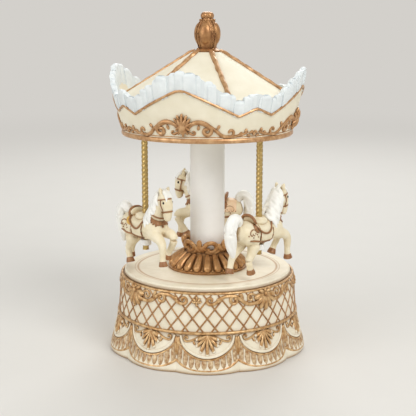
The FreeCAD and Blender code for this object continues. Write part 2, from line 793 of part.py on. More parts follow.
wheel_pitch_r = wheel_module * wheel_teeth / 2
second_pitch_r = wheel_module * second_teeth / 2
second_y = -(wheel_pitch_r + second_pitch_r)
worm_wheel_r = worm_module * worm_teeth / 2
worm_y = second_y - worm_wheel_r - worm_pitch_r
second_left_x = wheel_x - bracket_gap * 2 - bracket_thick
second_right_x = worm_wheel_x + worm_wheel_wide / 2 + bracket_gap * 2
worm_low_z = bed_top_z + worm_seat
worm_arm_z = train_z + worm_wheel_r + worm_thread_r - worm_pitch_r + worm_end_gap
post_back_y = second_y - governor_post_back
post_front_y = second_y + governor_post_front
post_top_z = train_z + governor_post_rise
frame_left_x = worm_wheel_x - governor_half
frame_right_x = worm_wheel_x + governor_half
frame_back_y = worm_y - governor_back_reach
governor_pieces = [
    block("governor_post_left", second_left_x, second_left_x + bracket_thick,
          post_back_y, post_front_y, bed_top_z, post_top_z),
    block("governor_post_right", second_right_x, second_right_x + bracket_thick,
          post_back_y, post_front_y, bed_top_z, post_top_z),
    block("governor_foot", second_left_x, second_right_x + bracket_thick,
          frame_back_y, post_front_y, bed_top_z, bed_top_z + bracket_thick),
    block("governor_seat", frame_left_x, frame_right_x, frame_back_y, worm_y + governor_front_reach,
          bed_top_z, worm_low_z),
    block("governor_back", frame_left_x, frame_right_x, frame_back_y, worm_y - governor_back_gap,
          bed_top_z, worm_arm_z + bracket_thick),
    block("governor_arm", frame_left_x, frame_right_x, frame_back_y, worm_y + governor_arm_reach,
          worm_arm_z, worm_arm_z + bracket_thick),
]
governor_bores = [
    cylinder("governor_second_bore", second_arbor_r + shaft_fit, bracket_thick * 12,
             second_left_x - bracket_thick, second_y, train_z, ALONG_X),
    cylinder("governor_worm_bore", worm_pivot_r + shaft_fit, worm_arm_z + bracket_thick - bed_top_z,
             worm_wheel_x, worm_y, bed_top_z + governor_pivot_depth),
]
node(cut("governor_bracket", fuse("governor_frame", governor_pieces), governor_bores))

# Winding arbor, key, ratchet and click
arbor_low_z = key_low_z + key_grip
ratchet_top_z = bed_top_z + ratchet_thick
barrel_z = ratchet_top_z + barrel_gap
barrel_top_z = barrel_z + barrel_tall
key_top_z = recess_z - key_gap
node(turned("winding_arbor", [
    (0.0, arbor_low_z),
    (arbor_thread_r, arbor_low_z),
    (arbor_thread_r, key_top_z),
    (arbor_r, key_top_z),
    (arbor_r, ratchet_top_z),
    (arbor_r + arbor_shoulder, ratchet_top_z),
    (arbor_r + arbor_shoulder, barrel_z),
    (arbor_r, barrel_z),
    (arbor_r, barrel_z + barrel_floor + barrel_gap),
    (arbor_core_r, barrel_z + barrel_floor + barrel_gap),
    (arbor_core_r, barrel_top_z - arbor_end_gap),
    (0.0, barrel_top_z - arbor_end_gap),
]))
key_mid_z = key_low_z + key_loop_r
key_half = key_thick / 2
key_pieces = [
    cylinder("key_hub", key_hub_r, key_top_z - key_low_z - key_hub_rise, 0.0, 0.0, key_low_z + key_hub_rise),
    block("key_web", -key_reach, key_reach, -key_half, key_half,
          key_mid_z - key_web_half, key_mid_z + key_web_half),
    cylinder("key_loop_left", key_loop_r, key_thick, -key_reach, -key_half, key_mid_z, ALONG_Y),
    cylinder("key_loop_right", key_loop_r, key_thick, key_reach, -key_half, key_mid_z, ALONG_Y),
]
key_holes = [
    cylinder("key_hole_left", key_loop_hole_r, key_thick * 3,
             -key_reach, -key_thick * 1.5, key_mid_z, ALONG_Y),
    cylinder("key_hole_right", key_loop_hole_r, key_thick * 3,
             key_reach, -key_thick * 1.5, key_mid_z, ALONG_Y),
    cylinder("key_thread", arbor_thread_r, key_top_z, 0.0, 0.0, arbor_low_z),
]
node(cut("winding_key", fuse("key_body", key_pieces), key_holes))


def extruded(points, start, along):
    """A prism on a closed outline of points."""
    outline = Part.makePolygon(points + [points[0]])
    face = Part.Face(outline)
    face.translate(start)
    return face.extrude(along)


def ratchet_outline(count, tip, depth):
    """Saw teeth: each rises slowly and drops at once."""
    points = []
    for index in range(count):
        angle = 2.0 * math.pi * index / count
        for radius in (tip - depth, tip):
            shift = 2.0 * math.pi / count * (0.94 if radius == tip else 0.0)
            points.append(Vector(radius * math.cos(angle + shift), radius * math.sin(angle + shift), 0))
    return points


ratchet_blank = extruded(ratchet_outline(16, ratchet_r.value, ratchet_tooth.value),
                         Vector(0, 0, bed_top_z.value), Vector(0, 0, ratchet_thick.value))
ratchet_bore = Part.makeCylinder(arbor_r.value, ratchet_thick.value * 3,
                                 Vector(0, 0, bed_top_z.value - ratchet_thick.value))
node(formed("ratchet_wheel", ratchet_blank.cut(ratchet_bore)))

click_bar = block("click_bar", -click_width / 2, click_width / 2, 0.0, click_reach, 0.0, click_thick)
click_eye = cylinder("click_eye", click_width, click_thick)
click_bore = cylinder("click_bore", click_pin_r + shaft_fit, click_thick * 3, 0.0, 0.0, -click_thick)
click = node(cut("click_pawl", fuse("click_blank", [click_bar, click_eye]), [click_bore]))
place(click, click_x, click_y, bed_top_z, Rotation(Vector(0, 0, 1), click_lean))
node(cylinder("click_pin", click_pin_r, click_thick, click_x, click_y, bed_top_z))
node(block("click_spring", click_x - click_spring_thick, click_x, click_spring_start, click_spring_end,
           bed_top_z, bed_top_z + click_thick - click_spring_drop))

# Spring barrel with its crown wheel, mainspring, lid and coupling
crown_root_z = train_z - drive_module * pinion_teeth / 2 - drive_module * 1.25
barrel_can = turned("barrel_can", [
    (arbor_r + shaft_fit, barrel_z),
    (barrel_r, barrel_z),
    (barrel_r, crown_root_z - crown_wheel_thick),
    (crown_wheel_r, crown_root_z - crown_wheel_thick),
    (crown_wheel_r, crown_root_z),
    (barrel_r, crown_root_z),
    (barrel_r, barrel_top_z),
    (barrel_r - barrel_wall, barrel_top_z),
    (barrel_r - barrel_wall, barrel_z + barrel_floor),
    (arbor_r + shaft_fit, barrel_z + barrel_floor),
])
crown_pitch = math.pi * drive_module.value
crown_tip_z = train_z.value - drive_module.value * pinion_teeth / 2 + drive_module.value * 0.8
crown_solids = []
for index in range(crown_teeth):
    low = crown_root_z.value - 0.3
    half_low = crown_pitch * 0.27
    half_top = crown_pitch * 0.13
    profile = [Vector(0, -half_low, low), Vector(0, half_low, low),
               Vector(0, half_top, crown_tip_z), Vector(0, -half_top, crown_tip_z)]
    tooth = extruded(profile, Vector(barrel_r.value - 0.2, 0, 0),
                     Vector(crown_wheel_r.value - barrel_r.value, 0, 0))
    tooth.rotate(Vector(0, 0, 0), Vector(0, 0, 1), 360.0 * index / crown_teeth)
    crown_solids.append(tooth)
crown_ring = formed("crown_ring", Part.makeCompound(crown_solids))
node(fuse("spring_barrel", [barrel_can, crown_ring]))

spring_inner = arbor_core_r.value + spring_end_gap.value
spring_outer = barrel_r.value - barrel_wall.value - spring_strip.value


def spiral(shift, steps):
    """Points along the wound spring, from the arbor outwards."""
    points = []
    for index in range(steps + 1):
        part_way = index / steps
        angle = 2.0 * math.pi * spring_turns * part_way
        radius = spring_inner + (spring_outer - spring_inner) * part_way + shift
        points.append(Vector(radius * math.cos(angle), radius * math.sin(angle), 0))
    return points


spring_sides = []
for shift in (0.0, spring_strip.value):
    side = Part.BSplineCurve()
    side.interpolate(spiral(shift, 24 * spring_turns))
    spring_sides.append(side.toShape())
ends = [edge.Vertexes for edge in spring_sides]
spring_sides.append(Part.makeLine(ends[0][0].Point, ends[1][0].Point))
spring_sides.append(Part.makeLine(ends[0][1].Point, ends[1][1].Point))
spring_face = Part.Face(Part.Wire(Part.__sortEdges__(spring_sides)))
spring_z = barrel_z + barrel_floor + spring_end_gap
spring_tall = barrel_top_z - arbor_end_gap - spring_end_gap - spring_z
spring_face.translate(Vector(0, 0, spring_z.value))
node(formed("mainspring", spring_face.extrude(Vector(0, 0, spring_tall.value))))

lid_top_z = barrel_top_z + barrel_lid
node(turned("barrel_lid", [
    (0.0, barrel_top_z - lid_plug),
    (barrel_r - barrel_wall, barrel_top_z - lid_plug),
    (barrel_r - barrel_wall, barrel_top_z),
    (barrel_r, barrel_top_z),
    (barrel_r, lid_top_z),
    (barrel_post_r, lid_top_z),
    (barrel_post_r, lid_top_z + barrel_post),
    (0.0, lid_top_z + barrel_post),
]))
coupling_z = lid_top_z + coupling_gap
rod_low_z = lid_top_z + barrel_post
node(turned("rod_coupling", [
    (barrel_post_r, coupling_z),
    (coupling_r, coupling_z),
    (coupling_r, coupling_z + coupling_tall),
    (rod_r, coupling_z + coupling_tall),
    (rod_r, rod_low_z),
    (barrel_post_r, rod_low_z),
]))
rod_top_z = roof_top_z + cap_washer + nut_thick + 1.0
node(cylinder("drive_rod", rod_r, rod_top_z - rod_low_z, 0.0, 0.0, rod_low_z))

# Canopy: hub on the spindle, roof with its flared crown wall, ceiling, nut and finial
hub_z = washer_z + washer_thick
node(turned("canopy_hub", [
    (rod_r, hub_z),
    (bush_flange_r, hub_z),
    (bush_flange_r, boss_z - hub_flange),
    (hub_flange_r, boss_z - hub_flange),
    (hub_flange_r, boss_z),
    (rod_r, boss_z),
]))
roof_drop = shell * 1.15
canopy_turn = turned("canopy_turn", [
    (rim_bore_r, rim_z),
    (rim_r - 0.6, rim_z),
    (rim_r, rim_z + 0.6),
    (rim_r, rim_z + 2.9),
    (rim_r - 0.3, rim_z + 3.6),
    (rim_r + 0.7, rim_z + 7.0),
    (crown_mid_r, crown_mid_z),
    (crown_high_r, crown_high_z),
    (frill_r, frill_peak_z + 0.8),
    (frill_r - shell * 0.8, frill_peak_z + 0.8),
    (crown_high_r - shell, crown_high_z),
    (eave_r, eave_z),
    (roof_top_r, roof_top_z),
    (rod_r, roof_top_z),
    (rod_r, boss_z),
    (boss_r, boss_z),
    (boss_r, roof_top_z - roof_drop),
    (roof_top_r, roof_top_z - roof_drop),
    (eave_r - shell * 1.2, eave_z - roof_drop + 0.6),
    (crown_mid_r - shell, crown_mid_z - 0.6),
    (rim_bore_r - ledge, rim_z + 6.4),
    (rim_bore_r - ledge, ceiling_z),
    (rim_bore_r, ceiling_z),
])

# Height of the frill edge along one quarter turn, from one high peak to the next
peak_rise = frill_peak_z.value - frill_trough_z.value
frill_stations = [
    (0.0, frill_peak_z.value),
    (9.0, frill_trough_z.value + 0.88 * peak_rise),
    (20.0, frill_trough_z.value + 0.47 * peak_rise),
    (28.0, frill_trough_z.value + 0.16 * peak_rise),
    (33.8, frill_trough_z.value),
    (39.5, 0.5 * (frill_trough_z.value + frill_tooth_z.value)),
    (45.0, frill_tooth_z.value),
]
frill_first_peak = -15.0


def frill_height(degrees_round):
    """Height of the frill edge at an angle, by straight steps between the stations."""
    along = (degrees_round - frill_first_peak) % 90.0
    along = min(along, 90.0 - along)
    for (start, low), (end, high) in zip(frill_stations, frill_stations[1:]):
        if along <= end:
            return low + (high - low) * (along - start) / (end - start)
    return frill_stations[-1][1]


# The ring that trims the crown wall to its four tall peaks and four small teeth
frill_trim_points = 72
frill_trim_margin = 6.0
frill_trim = formed("frill_trim", wavy_cutter(eave_r.value - shell.value / 5,
                                              frill_r.value + frill_trim_margin, frill_height,
                                              frill_trim_points, finial_top_z.value / 5))
ceiling_screw_angles = [left_angle + 60.0, right_angle + 60.0, rear_angle + 60.0]
ceiling_spots = [spot_on(ceiling_screw_circle, angle) for angle in ceiling_screw_angles]
ceiling_bosses = []
ceiling_bores = []
ceiling_screw_length = ceiling_boss_z - ceiling_z + ceiling_thick - 1.0
ceiling_low_z = ceiling_z - ceiling_thick
for index, (x, y) in enumerate(ceiling_spots):
    ceiling_bosses.append(cylinder("ceiling_boss_%d" % (index + 1), ceiling_boss_r,
                                   ceiling_boss_z - ceiling_z, x, y, ceiling_z))
    ceiling_bores.append(cylinder("ceiling_bore_%d" % (index + 1), ceiling_screw_r,
                                  ceiling_screw_length, x, y, ceiling_low_z))
canopy_blank = cut("canopy_trimmed", canopy_turn, [frill_trim])
node(cut("canopy_shell", fuse("canopy_body", [canopy_blank] + ceiling_bosses), ceiling_bores))

pole_angles = [("left", left_angle), ("right", right_angle), ("rear", rear_angle)]
pole_bush_bore = pole_r + pole_fit
pole_bush_r = pole_bush_bore + pole_bush_wall
ceiling_blank = turned("ceiling_blank", [
    (ceiling_bore_r, ceiling_low_z),
    (rim_bore_r - ceiling_fit, ceiling_low_z),
    (rim_bore_r - ceiling_fit, ceiling_z),
    (ceiling_bore_r, ceiling_z),
])
ceiling_holes = []
for side, angle in pole_angles:
    x, y = spot_on(pole_circle, angle)
    ceiling_holes.append(cylinder("ceiling_hole_" + side, pole_bush_r, ceiling_thick * 3,
                                  x, y, ceiling_low_z - ceiling_thick))
for index, (x, y) in enumerate(ceiling_spots):
    ceiling_holes.append(cylinder("ceiling_screw_hole_%d" % (index + 1), ceiling_screw_r,
                                  ceiling_thick * 3, x, y, ceiling_low_z - ceiling_thick))
node(cut("canopy_ceiling", ceiling_blank, ceiling_holes))
node(screws("ceiling_screws", ceiling_spots, ceiling_screw_head_r, ceiling_screw_head,
            ceiling_screw_r, ceiling_screw_length, ceiling_low_z, 1))

pole_bushes = []
for side, angle in pole_angles:
    x, y = spot_on(pole_circle, angle)
    sleeve = cylinder("pole_sleeve_" + side, pole_bush_r, ceiling_thick, x, y, ceiling_low_z)
    flange = cylinder("pole_flange_" + side, pole_bush_r + pole_bush_lip, pole_bush_flange, x, y, ceiling_z)
    bore = cylinder("pole_bore_" + side, pole_bush_bore, ceiling_thick * 3,
                    x, y, ceiling_low_z - ceiling_thick)
    pole_bushes.append(cut("pole_bush_" + side, fuse("pole_bush_blank_" + side, [sleeve, flange]), [bore]))
node(group("pole_bushes", pole_bushes))

node(turned("canopy_washer", [
    (rod_r, roof_top_z),
    (cap_washer_r, roof_top_z),
    (cap_washer_r, roof_top_z + cap_washer),
    (rod_r, roof_top_z + cap_washer),
]))
nut_blank = prism("nut_blank", 6, nut_r, nut_thick, roof_top_z + cap_washer)
nut_bore = cylinder("nut_bore", rod_r, nut_thick * 3, 0.0, 0.0, roof_top_z - nut_thick)
node(cut("canopy_nut", nut_blank, [nut_bore]))
finial_rise = finial_top_z - roof_top_z
node(turned("finial", [
    (finial_socket_r, roof_top_z),
    (finial_collar_r, roof_top_z),
    (finial_collar_r, roof_top_z + 0.9),
    (finial_r * 0.78, roof_top_z + 1.7),
    (finial_r * 0.84, roof_top_z + 3.4),
    (finial_r * 0.94, roof_top_z + 6.4),
    (finial_r, roof_top_z + 10.4),
    (finial_r * 0.9, roof_top_z + 13.2),
    (finial_r * 0.74, roof_top_z + 15.6),
    (finial_r * 0.58, roof_top_z + 17.2),
    (finial_r * 0.52, roof_top_z + 18.2),
    (finial_r * 0.56, roof_top_z + 19.4),
    (finial_r * 0.56, roof_top_z + 20.8),
    (finial_r * 0.40, roof_top_z + 22.2),
    (finial_r * 0.16, finial_top_z),
    (0.0, finial_top_z),
    (0.0, roof_top_z + finial_socket),
    (finial_socket_r, roof_top_z + finial_socket),
]))


# Horses: lofted limbs on a lofted trunk, all one casting

def egg(x, y, z, long, wide, tall):
    """An egg-shaped swelling."""
    stretch = Matrix()
    stretch.scale(long, wide, tall)
    ball = Part.makeSphere(1.0).transformGeometry(stretch)
    ball.translate(Vector(x, y, z))
    return ball


def horse_shape(forward):
    """The horse facing +X, with z counted from the deck; its pole stands that far behind its middle."""
    spread = horse_half_width.value
    trunk = limb([(-20.0, 0.0, 30.2, 1.8), (-17.4, 0.0, 29.4, 5.4), (-12.0, 0.0, 27.8, 7.4),
                  (-4.0, 0.0, 26.6, 6.9), (4.0, 0.0, 26.8, 7.1), (10.0, 0.0, 28.2, 7.3),
                  (14.6, 0.0, 29.8, 5.8), (17.4, 0.0, 30.6, 2.2)])
    neck = limb([(7.5, 0.0, 29.0, 5.8), (12.5, 0.0, 36.5, 5.6),
                 (16.0, 0.0, 43.2, 4.8), (18.2, 0.0, 48.6, 3.2)])
    head = limb([(16.8, 0.0, 50.4, 2.0), (18.8, 0.0, 48.6, 3.7), (21.4, 0.0, 44.0, 3.7),
                 (21.9, 0.0, 39.4, 2.9), (21.3, 0.0, 36.0, 2.4), (20.8, 0.0, 34.2, 1.5)])
    mane = limb([(8.2, 0.0, 37.2, 2.0), (11.2, 0.0, 43.4, 2.1),
                 (14.4, 0.0, 48.2, 1.9), (17.8, 0.0, 51.0, 1.2)])
    tail = limb([(-16.4, 0.0, 32.0, 1.8), (-18.8, 0.0, 36.2, 2.6), (-22.0, 0.0, 35.4, 2.9),
                 (-23.4, 0.0, 29.6, 3.0), (-23.0, 0.0, 22.6, 2.4), (-21.4, 0.0, 17.6, 0.9)])
    raised_leg = limb([(9.0, spread * 0.7, 27.0, 4.2), (16.0, spread, 25.6, 3.4),
                       (22.0, spread, 23.6, 2.7), (20.6, spread, 18.6, 2.1),
                       (17.6, spread, 14.6, 1.9), (16.0, spread, 11.0, 2.6)])
    striding_leg = limb([(9.0, -spread * 0.7, 26.0, 4.4), (15.6, -spread, 24.0, 3.5),
                         (20.6, -spread, 20.8, 2.7), (21.4, -spread, 15.8, 2.1),
                         (21.4, -spread, 12.0, 1.9), (22.0, -spread, 8.4, 2.6)])
    trailing_leg = limb([(-10.0, spread * 0.7, 27.0, 5.0), (-12.0, spread, 20.4, 4.2),
                         (-15.6, spread, 16.4, 2.9), (-18.6, spread, 13.0, 2.2),
                         (-19.8, spread, 9.0, 1.9), (-20.4, spread, 5.4, 2.6)])
    standing_leg = limb([(-10.0, -spread * 0.7, 27.0, 5.0), (-8.6, -spread, 20.0, 4.2),
                         (-10.2, -spread, 15.6, 2.9), (-12.4, -spread, 12.0, 2.2),
                         (-11.6, -spread, 8.2, 1.9), (-10.6, -spread, 4.6, 2.6)])
    saddle = [egg(0.0, 0.0, 31.6, 8.6, 6.4, 3.0), egg(-7.6, 0.0, 34.0, 1.8, 5.2, 2.4),
              egg(6.4, 0.0, 34.2, 1.6, 3.4, 2.2)]
    pieces = [neck, head, mane, tail, raised_leg, striding_leg, trailing_leg, standing_leg] + saddle
    for side in (1.0, -1.0):
        ear_root = Vector(18.4, side * 1.8, 48.4)
        pieces.append(Part.makeCone(1.3, 0.25, 6.4, ear_root, Vector(0.02, side * 0.2, 1.0)))
    body = trunk.multiFuse(pieces)
    body.translate(Vector(forward, 0, 0))
    bore = Part.makeCylinder(pole_r.value, pole_top_z.value - deck_z.value)
    return body.cut(bore)


horse_yaw = {"left": 20.0, "right": -5.0, "rear": 0.0}
horse_forward = {"left": 0.0, "right": 0.0, "rear": 1.5}
pole_long = pole_top_z - pole_tip_z
follower_z = cam_mid_z + follower_pin_r
for side, angle in pole_angles:
    x, y = spot_on(pole_circle, angle)
    node(cylinder("pole_" + side, pole_r, pole_long, x, y, pole_tip_z))
    horse = node(formed("horse_" + side, horse_shape(horse_forward[side])))
    place(horse, x, y, deck_z, Rotation(Vector(0, 0, 1), angle.value + horse_yaw[side]))
    collar_blank = cylinder("collar_blank_" + side, collar_r, collar_tall, x, y, collar_low_z)
    collar_bore = cylinder("collar_bore_" + side, pole_r, collar_tall * 3, x, y, collar_low_z - collar_tall)
    node(cut("pole_collar_" + side, collar_blank, [collar_bore]))
    sleeve = cylinder("follower_sleeve_" + side, follower_r, follower_tall, 0.0, 0.0, -follower_tall / 2)
    pin_long = pole_circle - cam_r - follower_gap
    pin = cylinder("follower_finger_" + side, follower_pin_r, pin_long, -pin_long, 0.0, 0.0, ALONG_X)
    bore = cylinder("follower_bore_" + side, pole_r, follower_tall * 3, 0.0, 0.0, -follower_tall * 1.5)
    follower = node(cut("follower_" + side, fuse("follower_blank_" + side, [sleeve, pin]), [bore]))
    place(follower, x, y, follower_z, Rotation(Vector(0, 0, 1), angle.value - 90.0))


# Cylinder, wheels and governor, all lying along +X from the spindle

def gear_outline(count, module, phase, addendum, dedendum, root_part, tip_part):
    """Straight-flanked teeth; the parts are the tooth's share of the pitch at root and tip."""
    root_r = module * (count / 2.0 - dedendum)
    tip_r = module * (count / 2.0 + addendum)
    step = 2.0 * math.pi / count
    points = []
    for index in range(count):
        middle = step * (index + phase)
        corners = ((root_r, -root_part), (tip_r, -tip_part), (tip_r, tip_part), (root_r, root_part))
        for radius, share in corners:
            angle = middle + step * share / 2.0
            points.append(Vector(0, radius * math.cos(angle), radius * math.sin(angle)))
    return points


def gear_along_x(points, start, wide, y, z, bore_r):
    """A gear on an arbor that lies along X."""
    blank = extruded(points, Vector(start, y, z), Vector(wide, 0, 0))
    bore = Part.makeCylinder(bore_r, wide * 3, Vector(start - wide, y, z), Vector(1, 0, 0))
    return blank.cut(bore)


drum = Part.makeCylinder(cylinder_r.value, cylinder_long.value,
                         Vector(cylinder_start.value, 0, train_z.value), Vector(1, 0, 0))
pin_solids = []
pins_per_tooth = 4
golden_turn = 137.5
first_pin_angle = 9.0
pin_root = 0.5
for tooth in range(comb_teeth):
    for beat in range(pins_per_tooth):
        angle = math.radians(golden_turn * (tooth * pins_per_tooth + beat) + first_pin_angle)
        out = Vector(0, math.cos(angle), math.sin(angle))
        foot = Vector(comb_first_x.value + comb_pitch.value * tooth, 0, train_z.value)
        pin_solids.append(Part.makeCylinder(cylinder_pin_r.value, cylinder_pin.value + pin_root,
                                            foot + out * (cylinder_r.value - pin_root), out))
drum = drum.multiFuse(pin_solids)
drum_bore = Part.makeCylinder(train_arbor_r.value, cylinder_long.value * 2,
                              Vector(pinion_start.value, 0, train_z.value), Vector(1, 0, 0))
node(formed("pinned_cylinder", drum.cut(drum_bore)))
arbor_end_x = outer_bracket_x + bracket_thick + arbor_end
node(cylinder("cylinder_arbor", train_arbor_r, arbor_end_x - pinion_start,
              pinion_start, 0.0, train_z, ALONG_X))
pinion_points = gear_outline(pinion_teeth, drive_module.value, 0.0, 0.7, 0.95, 0.5, 0.24)
node(formed("cylinder_pinion", gear_along_x(pinion_points, pinion_start.value, pinion_wide.value,
                                            0.0, train_z.value, train_arbor_r.value)))
wheel_points = gear_outline(wheel_teeth, wheel_module.value, 0.0, 0.7, 1.0, 0.5, 0.26)
node(formed("cylinder_wheel", gear_along_x(wheel_points, wheel_x.value, wheel_wide.value,
                                           0.0, train_z.value, train_arbor_r.value)))
second_points = gear_outline(second_teeth, wheel_module.value, 0.5, 0.7, 0.95, 0.5, 0.24)
node(formed("governor_pinion", gear_along_x(second_points, wheel_x.value, wheel_wide.value,
                                            second_y.value, train_z.value, second_arbor_r.value)))
second_end_x = second_right_x + bracket_thick + arbor_end
second_start_x = second_left_x - arbor_end
node(cylinder("governor_arbor", second_arbor_r, second_end_x - second_start_x,
              second_start_x, second_y, train_z, ALONG_X))
worm_wheel_points = gear_outline(worm_teeth, worm_module.value, 0.0, 0.55, 0.9, 0.36, 0.24)
worm_wheel_start = worm_wheel_x.value - worm_wheel_wide.value / 2
node(formed("governor_worm_wheel", gear_along_x(worm_wheel_points, worm_wheel_start, worm_wheel_wide.value,
                                                second_y.value, train_z.value, second_arbor_r.value)))

# Worm: a gap between two turns of its thread faces the wheel's tooth on the line of centres
worm_lead = math.pi * worm_module.value
worm_turns = 6
thread_start = train_z.value + worm_lead * (0.25 - worm_turns / 2)
helix = Part.makeHelix(worm_lead, worm_lead * worm_turns, worm_pitch_r.value)
helix_wire = Part.Wire(helix.Edges)
root_half = 0.21 * worm_lead
tip_half = 0.11 * worm_lead
thread_root_r = worm_core_r.value - 0.12
thread_profile = Part.makePolygon([
    Vector(thread_root_r, 0, -root_half),
    Vector(worm_thread_r.value, 0, -tip_half),
    Vector(worm_thread_r.value, 0, tip_half),
    Vector(thread_root_r, 0, root_half),
    Vector(thread_root_r, 0, -root_half),
])
thread = helix_wire.makePipeShell([thread_profile], True, True)
thread.translate(Vector(worm_wheel_x.value, worm_y.value, thread_start))
core_z = worm_low_z + arbor_end
core_tall = worm_arm_z - arbor_end - core_z
worm_core = Part.makeCylinder(worm_core_r.value, core_tall.value,
                              Vector(worm_wheel_x.value, worm_y.value, core_z.value))
fan_z = worm_arm_z + bracket_thick + fan_gap
staff_z = bed_top_z + governor_pivot_depth + shaft_fit
staff_tall = fan_z + fan_tall - staff_z
worm_staff = Part.makeCylinder(worm_pivot_r.value, staff_tall.value,
                               Vector(worm_wheel_x.value, worm_y.value, staff_z.value))
node(formed("governor_worm", thread.multiFuse([worm_core, worm_staff])))
fan_hub = cylinder("fan_hub", worm_pivot_r + fan_hub_wall, fan_tall, worm_wheel_x, worm_y, fan_z)
fan_blade = block("fan_blade", worm_wheel_x - fan_r, worm_wheel_x + fan_r, worm_y - fan_thick / 2,
                  worm_y + fan_thick / 2, fan_z, fan_z + fan_tall)
fan_bore = cylinder("fan_bore", worm_pivot_r, fan_tall * 3, worm_wheel_x, worm_y, fan_z - fan_tall)
node(cut("governor_fan", fuse("fan_blank", [fan_hub, fan_blade]), [fan_bore]))

# Checks and export
DOC.recompute()
problems = []
for obj in DOC.Objects:
    if "Invalid" in obj.State or "Error" in obj.State:
        problems.append("%s: %s" % (obj.Name, obj.State))
for obj in NODES:
    if obj.Shape.isNull() or not obj.Shape.isValid():
        problems.append("%s: shape is null or not valid" % obj.Label)
    elif len(obj.Shape.Solids) == 0:
        problems.append("%s: no solid" % obj.Label)
if problems:
    raise RuntimeError("; ".join(problems))
os.makedirs("parts", exist_ok=True)
for obj in NODES:
    obj.Shape.exportStep("parts/%s.step" % obj.Label)
print("nodes", len(NODES))
for obj in NODES:
    box = obj.Shape.BoundBox
    print("%-24s solids %d  volume %9.2f  x %.2f %.2f  y %.2f %.2f  z %.2f %.2f" % (
        obj.Label, len(obj.Shape.Solids), obj.Shape.Volume,
        box.XMin, box.XMax, box.YMin, box.YMax, box.ZMin, box.ZMax))
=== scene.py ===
import bpy
import json
import math
from mathutils import Matrix, Vector
from mathutils.bvhtree import BVHTree


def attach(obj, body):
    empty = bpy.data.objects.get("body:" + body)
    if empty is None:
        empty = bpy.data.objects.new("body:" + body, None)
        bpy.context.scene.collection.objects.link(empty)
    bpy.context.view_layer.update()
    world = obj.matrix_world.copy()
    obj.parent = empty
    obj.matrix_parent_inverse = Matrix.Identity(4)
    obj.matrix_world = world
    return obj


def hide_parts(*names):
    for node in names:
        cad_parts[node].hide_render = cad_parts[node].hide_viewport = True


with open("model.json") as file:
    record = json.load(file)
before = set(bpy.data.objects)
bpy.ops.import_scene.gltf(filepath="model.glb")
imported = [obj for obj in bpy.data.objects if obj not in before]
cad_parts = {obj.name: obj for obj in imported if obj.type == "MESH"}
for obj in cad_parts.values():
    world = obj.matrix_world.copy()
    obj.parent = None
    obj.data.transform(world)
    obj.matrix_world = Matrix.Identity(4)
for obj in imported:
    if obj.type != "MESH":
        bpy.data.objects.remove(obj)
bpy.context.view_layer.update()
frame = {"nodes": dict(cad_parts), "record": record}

# A wind-up carousel music box: the cast ornament, the horses and the finishes over its solid frame.
# Pieces are modelled in millimetres and brought to metres when they are finished.
# Angles round the box are counted from the front and grow towards +X.

NODES = frame["nodes"]
MM = 0.001

# Camera at the photograph's angle
PHOTO_WIDTH = 416.0
FOCAL_PIXELS = 943.4
AXIS_SHIFT_PIXELS = 0.655
SENSOR_WIDTH = 36.0
CAMERA_PLACE = (0.0, -0.560, 0.1963)
CAMERA_DOWN = 0.1985
bpy.ops.object.select_all(action="DESELECT")
bpy.ops.object.camera_add(location=CAMERA_PLACE, rotation=(math.pi / 2 - CAMERA_DOWN, 0.0, 0.0))
camera = bpy.context.object
camera.data.sensor_width = SENSOR_WIDTH
camera.data.lens = SENSOR_WIDTH * FOCAL_PIXELS / PHOTO_WIDTH
camera.data.shift_x = AXIS_SHIFT_PIXELS / PHOTO_WIDTH
bpy.context.scene.camera = camera
bpy.context.scene.view_settings.view_transform = "Standard"

# Levels and lines that several pieces share, in millimetres and degrees
DECK_Z = 48.0
PEAK_ANGLE = -15.0
QUARTER_TURN = 90.0
# The canopy's edge line: degrees from a tall peak, and height
ROPE_STATIONS = ((0.0, 158.2), (4.5, 157.3), (33.8, 144.2), (45.0, 148.2))
# Right and left of a piece's middle
SIDES = (1.0, -1.0)

# Sockets of a Mix node that mixes colours
SHARE = 0
FIRST = 6
SECOND = 7
MIXED = 2


# Finishes

def linear(code):
    """A colour written as sRGB hex, turned to linear light."""
    parts = [int(code[i:i + 2], 16) / 255.0 for i in (0, 2, 4)]
    light = [p / 12.92 if p <= 0.04045 else ((p + 0.055) / 1.055) ** 2.4 for p in parts]
    return (light[0], light[1], light[2], 1.0)


def add(material, kind, links=None, **settings):
    """Add one node; a link value is a number, a colour or a pair of node and output name."""
    node = material.node_tree.nodes.new(kind)
    for name, value in settings.items():
        setattr(node, name, value)
    for socket, value in (links or {}).items():
        if isinstance(value, tuple) and isinstance(value[0], bpy.types.Node):
            material.node_tree.links.new(value[0].outputs[value[1]], node.inputs[socket])
        else:
            node.inputs[socket].default_value = value
    return node


def per_metre(size_mm):
    """The texture scale that gives features of a size in millimetres."""
    return 1.0 / (size_mm * MM)


def started(name, metal):
    """A new finish with its share of metal, and the object's own coordinates."""
    made = bpy.data.materials.new(name)
    made.use_nodes = True
    made.node_tree.nodes["Principled BSDF"].inputs["Metallic"].default_value = metal
    return made, add(made, "ShaderNodeTexCoord")


def surfaced(made, colour, grain, smoothest, roughest, strength, depth_mm):
    """Give a finish its colour, and the gloss and the bumps of its grain."""
    shader = made.node_tree.nodes["Principled BSDF"]
    gloss = add(made, "ShaderNodeMapRange",
                {"Value": (grain, "Fac"), "To Min": smoothest, "To Max": roughest})
    bump = add(made, "ShaderNodeBump",
               {"Height": (grain, "Fac"), "Strength": strength, "Distance": depth_mm * MM})
    made.node_tree.links.new(colour.outputs[MIXED], shader.inputs["Base Color"])
    made.node_tree.links.new(gloss.outputs["Result"], shader.inputs["Roughness"])
    made.node_tree.links.new(bump.outputs["Normal"], shader.inputs["Normal"])
    return made


